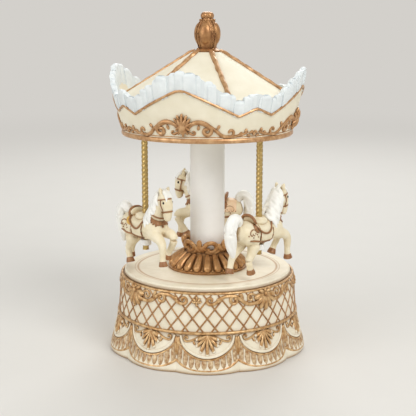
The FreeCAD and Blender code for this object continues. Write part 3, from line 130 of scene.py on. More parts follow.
# Noise levels between which a coat goes from whole to rubbed, and open sky between which the wash and painted
# shade go to none
UNWORN = 0.35
WORN_THROUGH = 0.7
DEEP_CREVICE = 0.25
OPEN_FACE = 0.95


def painted(name, coat, wash_and_shade, lit, rough, crevice_mm, grain_depth, metal=0.0, grain_mm=0.6, mottle_mm=6.0,
            wash_and_shade_power=1.0):
    """Paint over cast resin: a wash and painted shade that lie in the crevices, worn lighter patches and a
    fine grain.
    """
    made, place = started(name, metal)
    mottle = add(made, "ShaderNodeTexNoise",
                 {"Vector": (place, "Object"), "Scale": per_metre(mottle_mm), "Detail": 4.0})
    spread = add(made, "ShaderNodeMapRange",
                 {"Value": (mottle, "Fac"), "From Min": UNWORN, "From Max": WORN_THROUGH})
    worn = add(made, "ShaderNodeMix",
               {SHARE: (spread, "Result"), FIRST: linear(coat), SECOND: linear(lit)}, data_type="RGBA")
    # Painted shade together with the wash: the darker colour goes where occlusion finds crevices and hollows.
    shade = add(made, "ShaderNodeAmbientOcclusion", {"Distance": crevice_mm * MM}, samples=8)
    deep = add(made, "ShaderNodeMapRange",
               {"Value": (shade, "AO"), "From Min": DEEP_CREVICE, "From Max": OPEN_FACE,
                "To Min": wash_and_shade_power, "To Max": 0.0})
    body = add(made, "ShaderNodeMix",
               {SHARE: (deep, "Result"), FIRST: (worn, MIXED), SECOND: linear(wash_and_shade)}, data_type="RGBA")
    grain = add(made, "ShaderNodeTexNoise",
                {"Vector": (place, "Object"), "Scale": per_metre(grain_mm), "Detail": 3.0})
    return surfaced(made, body, grain, rough - 0.08, rough + 0.1, 0.5, grain_depth)


# The grain of the paints is drawn 0.5 to 0.8 mm wide, coarser than real pigment, so that it shows.
FRILL_WHITE = "dfe5e6"
# Cream paint on cast resin: a soft matt ivory, with a thin brown wash and painted shade in every crevice.
ivory_paint = painted("ivory paint on cast resin", "e6dcc4", "a98050", "eee6d2", rough=0.5, crevice_mm=3.0,
                      grain_depth=0.14)
# The roof has a cleaner coat than the base, with less wash and painted shade.
roof_paint = painted("clean ivory paint on cast resin", "e8e0c8", "d2bb94", "efe8d3", rough=0.48,
                     crevice_mm=2.5, grain_depth=0.05, grain_mm=0.8, mottle_mm=9.0, wash_and_shade_power=0.6)
# Antique gold paint rubbed over brown: satin, light on the ridges, with brown wash and painted shade in the
# folds.
gold_paint = painted("antique gold paint over brown", "ad7e4b", "5a3616", "e2c08e", rough=0.34,
                     crevice_mm=1.5, grain_depth=0.08, metal=0.42, mottle_mm=2.2)
# The lattice has less gold left on it: thin brown lines with worn light patches, and dark brown wash and
# painted shade in the crevices.
lattice_paint = painted("worn gold paint on the lattice", "95653a", "633d1b", "c0935c", rough=0.45,
                        crevice_mm=1.0, grain_depth=0.05, metal=0.15, mottle_mm=2.5)
# The flutes are brushed thinly, so that ivory shows through the gold in streaks, with brown painted shade in
# the crevices between them.
flute_paint = painted("thin gold wash over ivory", "9f7244", "5a3618", "dfc9a4", rough=0.42, crevice_mm=2.2,
                      grain_depth=0.08, metal=0.2, mottle_mm=1.7)
# Copper gold on the canopy: warm and pinkish, with pale rubbed ridges and brown wash and painted shade in the
# hollows.
copper_paint = painted("copper gold paint", "b08154", "6b4221", "d6ad80", rough=0.32, crevice_mm=1.4,
                       grain_depth=0.05, metal=0.45, mottle_mm=2.6)
# Copper bronze on the pedestal: lighter than the finial, with brown wash and painted shade in the furrows.
pedestal_paint = painted("copper bronze paint", "b58455", "64401f", "d9ac78", rough=0.32, crevice_mm=2.0,
                         grain_depth=0.05, metal=0.5, mottle_mm=3.0, wash_and_shade_power=0.85)
# Bronze paint on the finial: darker red-brown, with brassy lights on the ridges and dark brown wash and
# painted shade in the hollows.
bronze_paint = painted("bronze paint over dark brown", "9c6d44", "5b371c", "c2925f", rough=0.34,
                       crevice_mm=2.2, grain_depth=0.05, metal=0.5, mottle_mm=4.0)
# White paint on the frill: cold white with a blue-grey shadow between the planks.
frill_paint = painted("cold white paint", FRILL_WHITE, "b4c2ca", "ebf0f0", rough=0.52, crevice_mm=2.0,
                      grain_depth=0.12, grain_mm=0.7, mottle_mm=5.0, wash_and_shade_power=0.6)
# Horse resin: ivory paint with tan painted shade in the folds.
horse_paint = painted("ivory horse paint", "e7d9b8", "a98450", "f0e6cc", rough=0.46, crevice_mm=2.6,
                      grain_depth=0.04, mottle_mm=5.0)
# Mane and tail: plain white paint with grey-beige painted shade between the locks.
mane_paint = painted("white mane paint", "f1f0ea", "b9b3a4", "f8f7f2", rough=0.5, crevice_mm=1.2,
                     grain_depth=0.05, grain_mm=0.5, mottle_mm=3.0)
# Harness and hooves: brown paint with a satin shine and a lighter rub, and darker painted shade in the
# crevices.
harness_paint = painted("brown harness paint", "8d5f3b", "553419", "ab7b50", rough=0.38, crevice_mm=1.0,
                        grain_depth=0.04, metal=0.1, grain_mm=0.5, mottle_mm=2.0)
# Saddle patch on one horse: ochre yellow paint, with brown painted shade in its crevices.
ochre_paint = painted("ochre saddle paint", "d9a648", "94661f", "e6bb66", rough=0.45, crevice_mm=1.0,
                      grain_depth=0.04, grain_mm=0.5, mottle_mm=2.5)
# Saddle cloth on the rear horse: a thin peach wash over ivory, with brown painted shade in its folds.
peach_paint = painted("peach saddle paint", "ecc7a0", "b07c50", "f2d8b8", rough=0.45, crevice_mm=1.4,
                      grain_depth=0.04, grain_mm=0.5, mottle_mm=3.0)


def plain(name, coat, lit, rough, grain_mm, grain_depth, metal=0.0, stretch=(1.0, 1.0, 1.0)):
    """A moulded, drawn or cast surface: one colour that drifts a little, and its fine grain."""
    made, place = started(name, metal)
    turned = add(made, "ShaderNodeMapping", {"Vector": (place, "Object"), "Scale": stretch})
    grain = add(made, "ShaderNodeTexNoise",
                {"Vector": (turned, "Vector"), "Scale": per_metre(grain_mm), "Detail": 4.0})
    tone = add(made, "ShaderNodeMix",
               {SHARE: (grain, "Fac"), FIRST: linear(coat), SECOND: linear(lit)}, data_type="RGBA")
    return surfaced(made, tone, grain, rough - 0.07, rough + 0.09, 0.4, grain_depth)


# Moulded polystyrene tube and collars: smooth satin white with hardly any grain.
white_plastic = plain("satin white polystyrene", "efeeec", "f5f4f2", rough=0.38, grain_mm=4.0,
                      grain_depth=0.01)
# Drawn and twisted brass: bright yellow metal with fine drawing lines along the rod.
brass_rod = plain("drawn brass", "b4975a", "cbb078", rough=0.3, grain_mm=0.8, grain_depth=0.01, metal=1.0,
                  stretch=(1.0, 1.0, 0.2))
# Turned brass of the movement: clean, with fine tool marks.
turned_brass = plain("turned brass", "b8984f", "c9ab66", rough=0.28, grain_mm=0.5, grain_depth=0.01,
                     metal=1.0)
# Bright steel of arbors, comb and screws.
bright_steel = plain("bright steel", "a3a4a6", "b9babb", rough=0.3, grain_mm=0.6, grain_depth=0.01,
                     metal=1.0)
# Zinc casting of the bedplate and brackets: dull grey with a cast skin.
zinc_casting = plain("cast zinc", "84868a", "9a9b9e", rough=0.5, grain_mm=0.9, grain_depth=0.04, metal=1.0)
# Fibreboard: brown pressed wood fibres, quite matt.
fibreboard = plain("pressed fibreboard", "8d6b45", "a17e55", rough=0.8, grain_mm=0.9, grain_depth=0.06)
# Black moulded plastic of the governor fan.
black_plastic = plain("black moulded nylon", "1d1d1e", "2b2b2c", rough=0.5, grain_mm=0.8, grain_depth=0.02)
# Glossy black paint of the eyes.
eye_paint = plain("gloss black paint", "17130f", "241c15", rough=0.15, grain_mm=0.6, grain_depth=0.0)


def repainted(finish, name):
    """A copy of a finish to paint on, with its colour so far, its axes and the reach from the Z axis."""
    made = finish.copy()
    made.name = name
    shader = made.node_tree.nodes["Principled BSDF"]
    body = shader.inputs["Base Color"].links[0].from_node
    place = add(made, "ShaderNodeTexCoord")
    axes = add(made, "ShaderNodeSeparateXYZ", {"Vector": (place, "Object")})
    flat = add(made, "ShaderNodeCombineXYZ", {"X": (axes, "X"), "Y": (axes, "Y")})
    reach = add(made, "ShaderNodeVectorMath", {0: (flat, 0)}, operation="LENGTH")
    return made, body, axes, reach


def set_stops(ramp, stops):
    """Fill a colour ramp with grey stops, each a place along it and a level."""
    spots = ramp.color_ramp.elements
    for index, (part, level) in enumerate(stops):
        spot = spots[index] if index < len(spots) else spots.new(part)
        spot.position = part
        spot.color = (level, level, level, 1.0)


def brushed_over(made, body, share, colour):
    """Lay a second colour over a finish, where a share of one says so."""
    coat = add(made, "ShaderNodeMix",
               {SHARE: (share, 0), FIRST: (body, MIXED), SECOND: linear(colour)}, data_type="RGBA")
    shader = made.node_tree.nodes["Principled BSDF"]
    made.node_tree.links.new(coat.outputs[MIXED], shader.inputs["Base Color"])
    return made


# The deck's two rings: the radii that the stops span, and the depth of the tan wash and painted groove shade
# along that span
RINGS_FROM = 40.0
RINGS_TO = 46.0
RING_STOPS = ((0.22, 0.0), (0.34, 0.85), (0.42, 0.85), (0.52, 0.15), (0.62, 0.15), (0.68, 0.7), (0.76, 0.0))
# Tan of the rings: wash together with painted shade of the grooves
RING_WASH_AND_SHADE = "b8905f"
JUST_UNDER_DECK = DECK_Z - 0.1


def drum_finish():
    """The ivory coat of the base with its two incised deck rings, drawn as tan lines of wash and painted
    groove shade.
    """
    made, body, axes, reach = repainted(ivory_paint, "ivory paint with deck rings")
    near = add(made, "ShaderNodeMapRange",
               {"Value": (reach, "Value"), "From Min": RINGS_FROM * MM, "From Max": RINGS_TO * MM})
    line = add(made, "ShaderNodeValToRGB", {"Fac": (near, "Result")})
    set_stops(line, RING_STOPS)
    level = add(made, "ShaderNodeMath", {0: (axes, "Z"), 1: JUST_UNDER_DECK * MM}, operation="GREATER_THAN")
    ring = add(made, "ShaderNodeMath", {0: (line, "Color"), 1: (level, 0)}, operation="MULTIPLY")
    return brushed_over(made, body, ring, RING_WASH_AND_SHADE)


# The radius outside which the canopy is its wall and no longer its roof
CROWN_WALL_R = 51.9


def crown_finish():
    """The roof's ivory, changed to the frill's white above the rope line on the canopy wall."""
    made, body, axes, reach = repainted(roof_paint, "ivory and white paint on the canopy")
    eighth = QUARTER_TURN / 2
    front = add(made, "ShaderNodeMath", {0: (axes, "Y"), 1: -1.0}, operation="MULTIPLY")
    angle = add(made, "ShaderNodeMath", {0: (axes, "X"), 1: (front, 0)}, operation="ARCTAN2")
    turn = add(made, "ShaderNodeMath", {0: (angle, 0), 1: math.radians(-PEAK_ANGLE)}, operation="ADD")
    fold = add(made, "ShaderNodeMath", {0: (turn, 0), 1: math.radians(eighth)}, operation="PINGPONG")
    part = add(made, "ShaderNodeMath", {0: (fold, 0), 1: 1.0 / math.radians(eighth)}, operation="MULTIPLY")
    line = add(made, "ShaderNodeValToRGB", {"Fac": (part, 0)})
    set_stops(line, [(offset / eighth, height * MM) for offset, height in ROPE_STATIONS])
    above = add(made, "ShaderNodeMath", {0: (axes, "Z"), 1: (line, "Color")}, operation="GREATER_THAN")
    outer = add(made, "ShaderNodeMath", {0: (reach, "Value"), 1: CROWN_WALL_R * MM}, operation="GREATER_THAN")
    both = add(made, "ShaderNodeMath", {0: (above, 0), 1: (outer, 0)}, operation="MULTIPLY")
    return brushed_over(made, body, both, FRILL_WHITE)


# The base's ivory with two rings cut in the deck, drawn as dark tan lines: the wash that collects there and
# the painted shade of each groove.
drum_paint = drum_finish()
# Ivory wall and roof, with cold white brushed over the wall above the rope line, inside and out.
crown_paint = crown_finish()

# Finishes of the solid parts that stay in view or that show when the box is opened
FINISH_OF_SLOT = {"ivory_resin": ivory_paint, "horse_resin": horse_paint, "bronze_resin": bronze_paint,
                  "white_plastic": white_plastic, "brass": turned_brass, "steel": bright_steel,
                  "zinc_casting": zinc_casting, "fibreboard": fibreboard, "black_plastic": black_plastic}
OWN_FINISH = {"base_drum": drum_paint, "canopy_shell": crown_paint, "canopy_ceiling": roof_paint}
SLOT_OF_NODE = {entry["node"]: entry["material_slot"] for entry in frame["record"]["subparts"]}
for node_name, node in NODES.items():
    finish = OWN_FINISH.get(node_name) or FINISH_OF_SLOT[SLOT_OF_NODE[node_name]]
    if not node.material_slots:
        node.data.materials.append(finish)
    for slot in node.material_slots:
        slot.material = finish


# Modelling

def only(obj):
    """Select one object and nothing else."""
    bpy.ops.object.select_all(action="DESELECT")
    obj.select_set(True)
    bpy.context.view_layer.objects.active = obj


def settle(obj):
    """Put an object's place, turn and scale into its mesh."""
    only(obj)
    bpy.ops.object.transform_apply(location=True, rotation=True, scale=True)
    return obj


def modify(obj, kind, **settings):
    """Add one modifier and apply it."""
    only(obj)
    change = obj.modifiers.new(kind.lower(), kind)
    for name, value in settings.items():
        setattr(change, name, value)
    bpy.ops.object.modifier_apply(modifier=change.name)
    return obj


def softened(obj, width, segments, sharpest):
    """Round every edge that turns by more than an angle in degrees."""
    return modify(obj, "BEVEL", width=width, segments=segments, limit_method="ANGLE",
                  angle_limit=math.radians(sharpest))


def pick_edges(obj, wanted):
    """Select the edges whose two ends fit a rule, and stay in edit mode with them."""
    only(obj)
    bpy.ops.object.mode_set(mode="EDIT")
    bpy.ops.mesh.select_mode(type="EDGE")
    bpy.ops.mesh.select_all(action="DESELECT")
    bpy.ops.object.mode_set(mode="OBJECT")
    corners = obj.data.vertices
    for edge in obj.data.edges:
        edge.select = wanted(corners[edge.vertices[0]].co, corners[edge.vertices[1]].co)
    bpy.ops.object.mode_set(mode="EDIT")


def tidy(obj, gap=0.005):
    """Merge doubled corners and turn all faces outwards."""
    only(obj)
    bpy.ops.object.mode_set(mode="EDIT")
    bpy.ops.mesh.select_all(action="SELECT")
    bpy.ops.mesh.remove_doubles(threshold=gap)
    bpy.ops.mesh.normals_make_consistent(inside=False)
    bpy.ops.object.mode_set(mode="OBJECT")
    return obj


def joined(pieces):
    """Several objects made one."""
    only(pieces[0])
    for piece in pieces:
        piece.select_set(True)
    bpy.ops.object.join()
    return pieces[0]


def copied(obj, matrix):
    """A copy with its own mesh, moved by a matrix."""
    twin = obj.copy()
    twin.data = obj.data.copy()
    bpy.context.collection.objects.link(twin)
    twin.data.transform(matrix)
    return twin


def around(obj, count, first=0.0):
    """Copies of an object set evenly round the Z axis, all joined to it."""
    copies = [obj]
    for index in range(1, count):
        copies.append(copied(obj, Matrix.Rotation(2.0 * math.pi * index / count, 4, "Z")))
    whole = joined(copies)
    whole.data.transform(Matrix.Rotation(math.radians(first), 4, "Z"))
    return whole


def finished(obj, name, body, finish, nodes=(), crease=40.0):
    """Name a piece, bring it to metres, give it its finish and let it ride on its body."""
    tidy(obj)
    obj.name = name
    obj.data.name = name
    obj.scale = (MM, MM, MM)
    settle(obj)
    bpy.ops.object.shade_smooth_by_angle(angle=math.radians(crease))
    obj.data.materials.clear()
    obj.data.materials.append(finish)
    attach(obj, body)
    if nodes:
        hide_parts(*nodes)
    return obj


def stroke(points, flat=1.0, sides=2, steps=3, closed=False, bend="AUTO"):
    """A rounded strand through points of x, y and half width on the board, or of x, y, z and half width."""
    bpy.ops.object.select_all(action="DESELECT")
    bpy.ops.curve.primitive_bezier_curve_add()
    strand = bpy.context.object
    strand.data.splines.clear()
    line = strand.data.splines.new("BEZIER")
    line.bezier_points.add(len(points) - 1)
    for spot, point in zip(line.bezier_points, points):
        spot.co = Vector((point[0], point[1], 0.0)) if len(point) == 3 else Vector(point[:3])
        spot.radius = point[-1]
        spot.handle_left_type = bend
        spot.handle_right_type = bend
    line.use_cyclic_u = closed
    strand.data.dimensions = "3D"
    strand.data.twist_mode = "Z_UP"
    strand.data.resolution_u = steps
    strand.data.bevel_depth = 1.0
    strand.data.bevel_resolution = sides
    strand.data.use_fill_caps = True
    bpy.ops.object.convert(target="MESH")
    strand = bpy.context.object
    strand.scale = (1.0, 1.0, flat)
    return settle(strand)


def curl(centre, reaches, angles, halves, count=7):
    """Points along a curl: its reach, its angle and its half width go from the first to the second value."""
    points = []
    for index in range(count):
        part = index / (count - 1)
        reach, angle, thick = [start + (end - start) * part for start, end in (reaches, angles, halves)]
        angle = math.radians(angle)
        points.append((centre[0] + reach * math.cos(angle), centre[1] + reach * math.sin(angle), thick))
    return points


def sided(points, side):
    """A strand on the right or the left of the board's middle."""
    return [(side * point[0],) + tuple(point[1:]) for point in points]


def both_halves(points):
    """A strand that ends at the board's middle, run on to the other side."""
    return points + sided(points[-2::-1], -1.0)


def leaf(long, wide, thick, taper=1.2):
    """A rounded leaf along +Y from its root at the origin, swelling towards its tip."""
    bpy.ops.object.select_all(action="DESELECT")
    bpy.ops.mesh.primitive_uv_sphere_add(segments=10, ring_count=8, radius=0.5,
                                         rotation=(math.pi / 2, 0.0, 0.0))
    blade = settle(bpy.context.object)
    blade.scale = (wide / (1.0 + taper / 2), long, 2.0 * thick / (1.0 + taper / 2))
    blade.location = (0.0, long / 2, 0.0)
    settle(blade)
    return modify(blade, "SIMPLE_DEFORM", deform_method="TAPER", deform_axis="Y", factor=taper)


def placed(obj, x, y, z=0.0, turn=0.0):
    """Turn a board piece about its root and move it to its place."""
    obj.data.transform(Matrix.Translation((x, y, z)) @ Matrix.Rotation(math.radians(turn), 4, "Z"))
    return obj


# The way a fan of leaves faces on the board
UPRIGHT = 0.0
HANGING = 180.0
# How a fan's leaves shorten from its middle: 1 is steadily, more is later
FAN_FALL = 1.4


def fan(x, y, count, spread, longest, shortest, wide, thick, facing, taper, rise):
    """Leaves spread from one root, going from the longest in the middle to the shortest outside."""
    leaves = []
    for index in range(count):
        part = 2.0 * index / (count - 1) - 1.0
        long = longest + (shortest - longest) * abs(part) ** FAN_FALL
        leaves.append(placed(leaf(long, wide, thick, taper), x, y, rise, facing + spread * part))
    return leaves


def between(stations, at):
    """The values of a row of stations at a place, by straight steps; the place comes first in each."""
    for low, high in zip(stations, stations[1:]):
        if at <= high[0]:
            break
    part = min(max((at - low[0]) / (high[0] - low[0]), 0.0), 1.0)
    return [start + (end - start) * part for start, end in zip(low[1:], high[1:])]


def round_spot(angle, reach, height):
    """The point at an angle from the front, a distance from the Z axis and a height."""
    return (reach * math.sin(angle), -reach * math.cos(angle), height)


# Height, radius at the middle of a lobe and depth of the notch between lobes, up the drum's wall
LOBES = 10
DRUM_PROFILE = ((0.0, 59.9, 2.4), (1.2, 60.4, 2.4), (5.4, 59.25, 2.16), (10.7, 57.45, 1.56),
                (17.0, 55.4, 0.6), (22.3, 54.0, 0.0), (44.8, 52.5, 0.0))
# Height and radius up the canopy's wall
CROWN_PROFILE = ((129.7, 50.2), (132.0, 50.2), (132.7, 49.9), (136.1, 50.9), (144.0, 53.3), (157.0, 56.3),
                 (168.6, 58.2))


def drum_reach(angle, height):
    """Radius of the drum's outer wall, in millimetres, at an angle and a height."""
    peak, notch = between(DRUM_PROFILE, height)
    half_lobe = math.pi / LOBES
    offset = (angle + half_lobe) % (2.0 * half_lobe) - half_lobe
    return peak - notch * (offset / half_lobe) ** 2


def crown_reach(angle, height):
    """Radius of the canopy's outer wall, in millimetres, at a height; it is the same at every angle."""
    return between(CROWN_PROFILE, height)[0]


def lay(obj, reach, centre, spread_r):
    """Wrap a board piece round the box: x runs along the wall, y is the height, z stands out of it."""
    for corner in obj.data.vertices:
        along, height, out = corner.co
        angle = math.radians(centre) + along / spread_r
        corner.co = round_spot(angle, reach(angle, height) + out, height)
    return obj


def hoop(radius, thick, height, tall):
    """A ring lying round the Z axis, its round section made taller or flatter."""
    bpy.ops.object.select_all(action="DESELECT")
    bpy.ops.mesh.primitive_torus_add(major_radius=radius, minor_radius=thick, major_segments=144,
                                     minor_segments=10)
    ring = bpy.context.object
    ring.scale = (1.0, 1.0, tall)
    ring.location = (0.0, 0.0, height)
    return settle(ring)


def lathe(profile, steps):
    """A form spun round the Z axis from an open outline of radius and height."""
    bpy.ops.object.select_all(action="DESELECT")
    bpy.ops.mesh.primitive_plane_add(size=1.0)
    form = bpy.context.object
    bpy.ops.object.mode_set(mode="EDIT")
    bpy.ops.mesh.select_mode(type="VERT")
    bpy.ops.mesh.select_all(action="SELECT")
    bpy.ops.mesh.merge(type="CENTER")
    bpy.ops.transform.translate(value=(profile[0][0], 0.0, profile[0][1]))
    for (near, low), (far, high) in zip(profile, profile[1:]):
        bpy.ops.mesh.extrude_vertices_move(TRANSFORM_OT_translate={"value": (far - near, 0.0, high - low)})
    bpy.ops.mesh.select_all(action="SELECT")
    bpy.ops.mesh.spin(steps=steps, angle=2.0 * math.pi, center=(0.0, 0.0, 0.0), axis=(0.0, 0.0, 1.0))
    bpy.ops.object.mode_set(mode="OBJECT")
    return tidy(form)


def ball(place, size, wide=1.0, tall=1.0, segments=10, long=1.0):
    """A small bead, which may be flattened or stretched along any axis."""
    bpy.ops.object.select_all(action="DESELECT")
    bpy.ops.mesh.primitive_uv_sphere_add(segments=segments, ring_count=max(segments // 2, 4), radius=size)
    bead = bpy.context.object
    bead.scale = (long, wide, tall)
    bead.location = place
    return settle(bead)


def uneven(index, pace, amount):
    """A small wander from one piece of a row to the next, as in work cut by hand."""
    return amount * math.sin(index * pace)


# Base: lattice of thin ribs between two gold rings
LATTICE_COUNT = 40
LATTICE_LOW = 22.4
LATTICE_HIGH = 44.4
LATTICE_CROSSING = 30.9
LATTICE_LEAN = 0.79
LATTICE_HALF = 0.45
WALL_MID_R = 53.3
ribs_both_ways = []
for side in SIDES:
    run = []
    for height in (LATTICE_LOW, LATTICE_CROSSING, LATTICE_HIGH):
        run.append((side * LATTICE_LEAN * (height - LATTICE_CROSSING), height, LATTICE_HALF))
    lattice_rib = lay(stroke(run, sides=1, steps=6), drum_reach, 0.0, WALL_MID_R)
    ribs_both_ways.append(around(lattice_rib, LATTICE_COUNT))
finished(joined(ribs_both_ways), "base_lattice", "base", lattice_paint)
lower_ring = hoop(radius=54.2, thick=0.95, height=LATTICE_LOW, tall=0.95)
upper_ring = hoop(radius=51.9, thick=0.85, height=44.9, tall=0.9)
finished(joined([lower_ring, upper_ring]), "base_gold_rings", "base", gold_paint)

# Base: garland of four drooping leaf cartouches with scrolls between them
GARLANDS = 4
GARLAND_FIRST = -51.5
GARLAND_R = 53.0
GARLAND_HALF = math.pi / GARLANDS * GARLAND_R
wave = [(2.0, 41.4, 0.9), (5.3, 38.7, 1.05), (10.1, 37.7, 1.15), (14.6, 39.4, 1.1), (17.6, 42.0, 1.05),
        (20.1, 43.3, 1.0)]
wave += curl((20.0, 40.8), (2.7, 0.7), (60.0, -300.0), (1.0, 0.8))
upper = [(5.6, 41.0, 0.6)]
upper += curl((10.0, 41.3), (2.4, 0.6), (130.0, -230.0), (0.75, 0.6))
outer = [(20.6, 43.4, 0.9), (25.9, 43.2, 1.0), (28.9, 41.4, 1.05), (31.3, 39.6, 1.05), (33.6, 39.1, 1.0)]
outer += curl((33.9, 41.3), (2.2, 0.5), (-70.0, 250.0), (0.95, 0.7))
garland = []
for side in SIDES:
    for points in (wave, upper, outer):
        garland.append(stroke(sided(points, side), 0.9))
    for turn, long in ((-18.0, 5.2), (-50.0, 4.2)):
        garland.append(placed(leaf(long, 2.2, 0.9), side * 14.8, 39.6, 0.1, side * turn))
    garland.append(placed(leaf(4.4, 1.9, 0.9), side * 26.5, 43.4, 0.1, side * -118.0))
garland += fan(0.0, 42.8, count=7, spread=74.0, longest=10.2, shortest=8.2, wide=3.2, thick=1.5,
               facing=HANGING, taper=1.3, rise=0.3)
garland += fan(0.0, 43.0, count=3, spread=70.0, longest=2.2, shortest=4.6, wide=2.2, thick=1.2,
               facing=UPRIGHT, taper=0.6, rise=0.3)
garland.append(ball((0.0, 42.4, 0.9), 1.5, tall=0.9))
garland += fan(GARLAND_HALF, 40.0, count=5, spread=75.0, longest=3.8, shortest=2.9, wide=1.5, thick=0.9,
               facing=UPRIGHT, taper=0.8, rise=0.2)
garland.append(placed(leaf(2.6, 1.4, 0.9), GARLAND_HALF, 40.4, 0.2, HANGING))
garland.append(ball((GARLAND_HALF, 40.3, 0.6), 0.8))
garland_quarter = lay(joined(garland), drum_reach, 0.0, GARLAND_R)
finished(around(garland_quarter, GARLANDS, GARLAND_FIRST), "base_garland", "base", gold_paint)

# Base: one lobe of the skirt, copied ten times
SKIRT_R = 57.5
HALF_LOBE = math.pi / LOBES * SKIRT_R
swag = both_halves([(-17.4, 20.2, 0.6), (-16.5, 16.6, 0.62), (-14.3, 13.8, 0.65), (-11.3, 11.5, 0.65),
                    (-7.5, 9.6, 0.65), (-4.0, 8.6, 0.65), (0.0, 8.3, 0.65)])
border = both_halves([(-16.2, 21.0, 0.7), (-15.0, 17.3, 0.8), (-13.0, 14.8, 0.85), (-10.3, 12.6, 0.85),
                      (-6.9, 11.0, 0.85), (-3.6, 10.1, 0.85), (0.0, 9.8, 0.85)])
hem = both_halves([(-HALF_LOBE, 7.2, 0.75), (-14.5, 4.7, 0.75), (-9.3, 3.0, 0.75), (-4.1, 2.5, 0.75),
                   (0.0, 2.4, 0.75)])
tendril = [(3.6, 21.3, 0.5), (8.4, 18.8, 0.6), (12.0, 17.8, 0.6)]
tendril += curl((12.6, 19.5), (1.7, 0.5), (-90.0, 200.0), (0.6, 0.5), 6)
lobe_gold = [stroke(swag, 0.9, sides=1), stroke(hem, 0.45, sides=1)]
lobe_gold += fan(0.0, 21.6, count=7, spread=66.0, longest=11.4, shortest=7.0, wide=2.1, thick=1.1,
                 facing=HANGING, taper=1.5, rise=0.2)
for side in SIDES:
    lobe_gold.append(stroke(sided(tendril, side), 0.9, sides=1))
    lobe_gold.append(placed(leaf(3.0, 1.2, 0.7), side * 8.6, 18.8, 0.1, side * 150.0))
    notch_leaf = leaf(11.0, 2.3, 0.9, -0.6)
    lobe_gold.append(placed(notch_leaf, side * (HALF_LOBE - 0.75), 20.4, 0.0, HANGING + side * 2.0))
lobe = lay(joined(lobe_gold), drum_reach, 0.0, SKIRT_R)
finished(around(lobe, LOBES), "skirt_gold", "base", gold_paint)
border_line = lay(stroke(border, 0.9), drum_reach, 0.0, SKIRT_R)
finished(around(border_line, LOBES), "skirt_borders", "base", ivory_paint)

# Base: reeded flutes between the swag and the hem line, sunk a little into the wall
FLUTES = 10
FLUTE_SUNK = -0.4
flutes = []
for index in range(FLUTES):
    x = -HALF_LOBE + 2.0 * HALF_LOBE * (index + 0.5) / FLUTES
    high = between(swag, x)[0] - 0.1
    low = between(hem, x)[0] + 0.1
    middle = (high + low - 0.1) / 2
    reed = stroke([(0.98 * x, high, 1.7), (0.99 * x, middle, 1.8), (x, low, 1.3)], 0.52)
    flutes.append(placed(reed, 0.0, 0.0, FLUTE_SUNK))
flute = lay(joined(flutes), drum_reach, 0.0, SKIRT_R)
finished(around(flute, LOBES), "skirt_flutes", "base", flute_paint)


# Canopy: rope line, rim band, frill of planks, roof ribs and cartouches

def stepped(stations, turn):
    """Height along the canopy edge, mirrored about each tall peak and each small one."""
    turn = turn % QUARTER_TURN
    return between(stations, min(turn, QUARTER_TURN - turn))[0]


CROWN_R = 51.5
FRILL_R = 56.5
PEAKS = 4
ROPE_HALF = 0.78
ROPE_PROUD = 0.15
# Degrees from a tall peak at which the rope has a point, and its height by degrees from a tall peak
ROPE_TURNS = (-8.0, -5.0, -2.5, 0.0, 2.5, 5.0, 8.0, 14.0, 21.0, 28.0, 33.0, 34.2, 38.5, 43.0, 45.0, 47.0,
              51.5, 55.8, 57.0, 62.0, 69.0, 76.0)
ROPE_PATH = ((0.0, 158.2), (2.5, 157.9), (5.0, 156.9), (8.0, 155.6), (33.0, 144.35), (34.2, 144.25),
             (43.0, 147.6), (45.0, 148.0))
rope = []
for peak in range(PEAKS):
    for turn in ROPE_TURNS:
        angle = math.radians(PEAK_ANGLE + QUARTER_TURN * peak + turn)
        high = stepped(ROPE_PATH, turn)
        rope.append(round_spot(angle, crown_reach(angle, high) + ROPE_PROUD, high) + (ROPE_HALF,))
rope_line = stroke(rope, steps=2, closed=True, bend="VECTOR")
finished(rope_line, "canopy_rope", "carousel", copper_paint)
rim_band = hoop(radius=50.0, thick=1.0, height=130.6, tall=1.45)
rim_lip = hoop(radius=49.6, thick=0.55, height=132.7, tall=0.9)
finished(joined([rim_band, rim_lip]), "canopy_rim_band", "carousel", copper_paint)


def plank(wide, low, high, deep, proud):
    """A board with a rounded top, standing on the wall's edge."""
    bpy.ops.object.select_all(action="DESELECT")
    bpy.ops.mesh.primitive_cube_add(size=1.0)
    board = bpy.context.object
    board.scale = (wide, high - low, deep)
    board.location = (0.0, (low + high) / 2, proud - deep / 2)
    settle(board)
    middle = (low + high) / 2
    pick_edges(board, lambda start, end: min(start.y, end.y) > middle)
    bpy.ops.mesh.bevel(offset=wide * 0.36, segments=4)
    bpy.ops.object.mode_set(mode="OBJECT")
    return softened(board, 0.35, 2, 60.0)


# The frill's top edge: degrees from a tall peak, and height
FRILL_STATIONS = ((0.0, 167.8), (9.0, 165.9), (20.0, 159.5), (28.0, 154.6), (33.8, 152.1), (39.5, 154.1),
                  (45.0, 156.1))
PLANKS = 76
PLANK_WIDE = 5.6
PLANK_DEEP = 3.3
PLANK_PROUD = 0.36
PLANK_FOOT = 0.4
PLANK_OVER = 1.1
# One peak stands a little taller than the others
TALLEST_PEAK = 270.0
TALLEST_SPREAD = 16.0
TALLEST_MORE = 1.3
planks = []
for index in range(PLANKS):
    turn = 360.0 * (index + uneven(index, 2.7, 0.32)) / PLANKS
    low = stepped(ROPE_STATIONS, turn) - PLANK_FOOT
    tallest = max(0.0, 1.0 - abs(turn - TALLEST_PEAK) / TALLEST_SPREAD)
    high = stepped(FRILL_STATIONS, turn) + PLANK_OVER + uneven(index, 2.4, 0.45) + TALLEST_MORE * tallest
    wide = PLANK_WIDE + uneven(index, 1.3, 1.1)
    board = plank(wide, low, high, PLANK_DEEP, PLANK_PROUD + uneven(index, 1.9, 0.2))
    planks.append(lay(board, crown_reach, PEAK_ANGLE + turn, FRILL_R))
finished(joined(planks), "canopy_frill", "carousel", frill_paint)

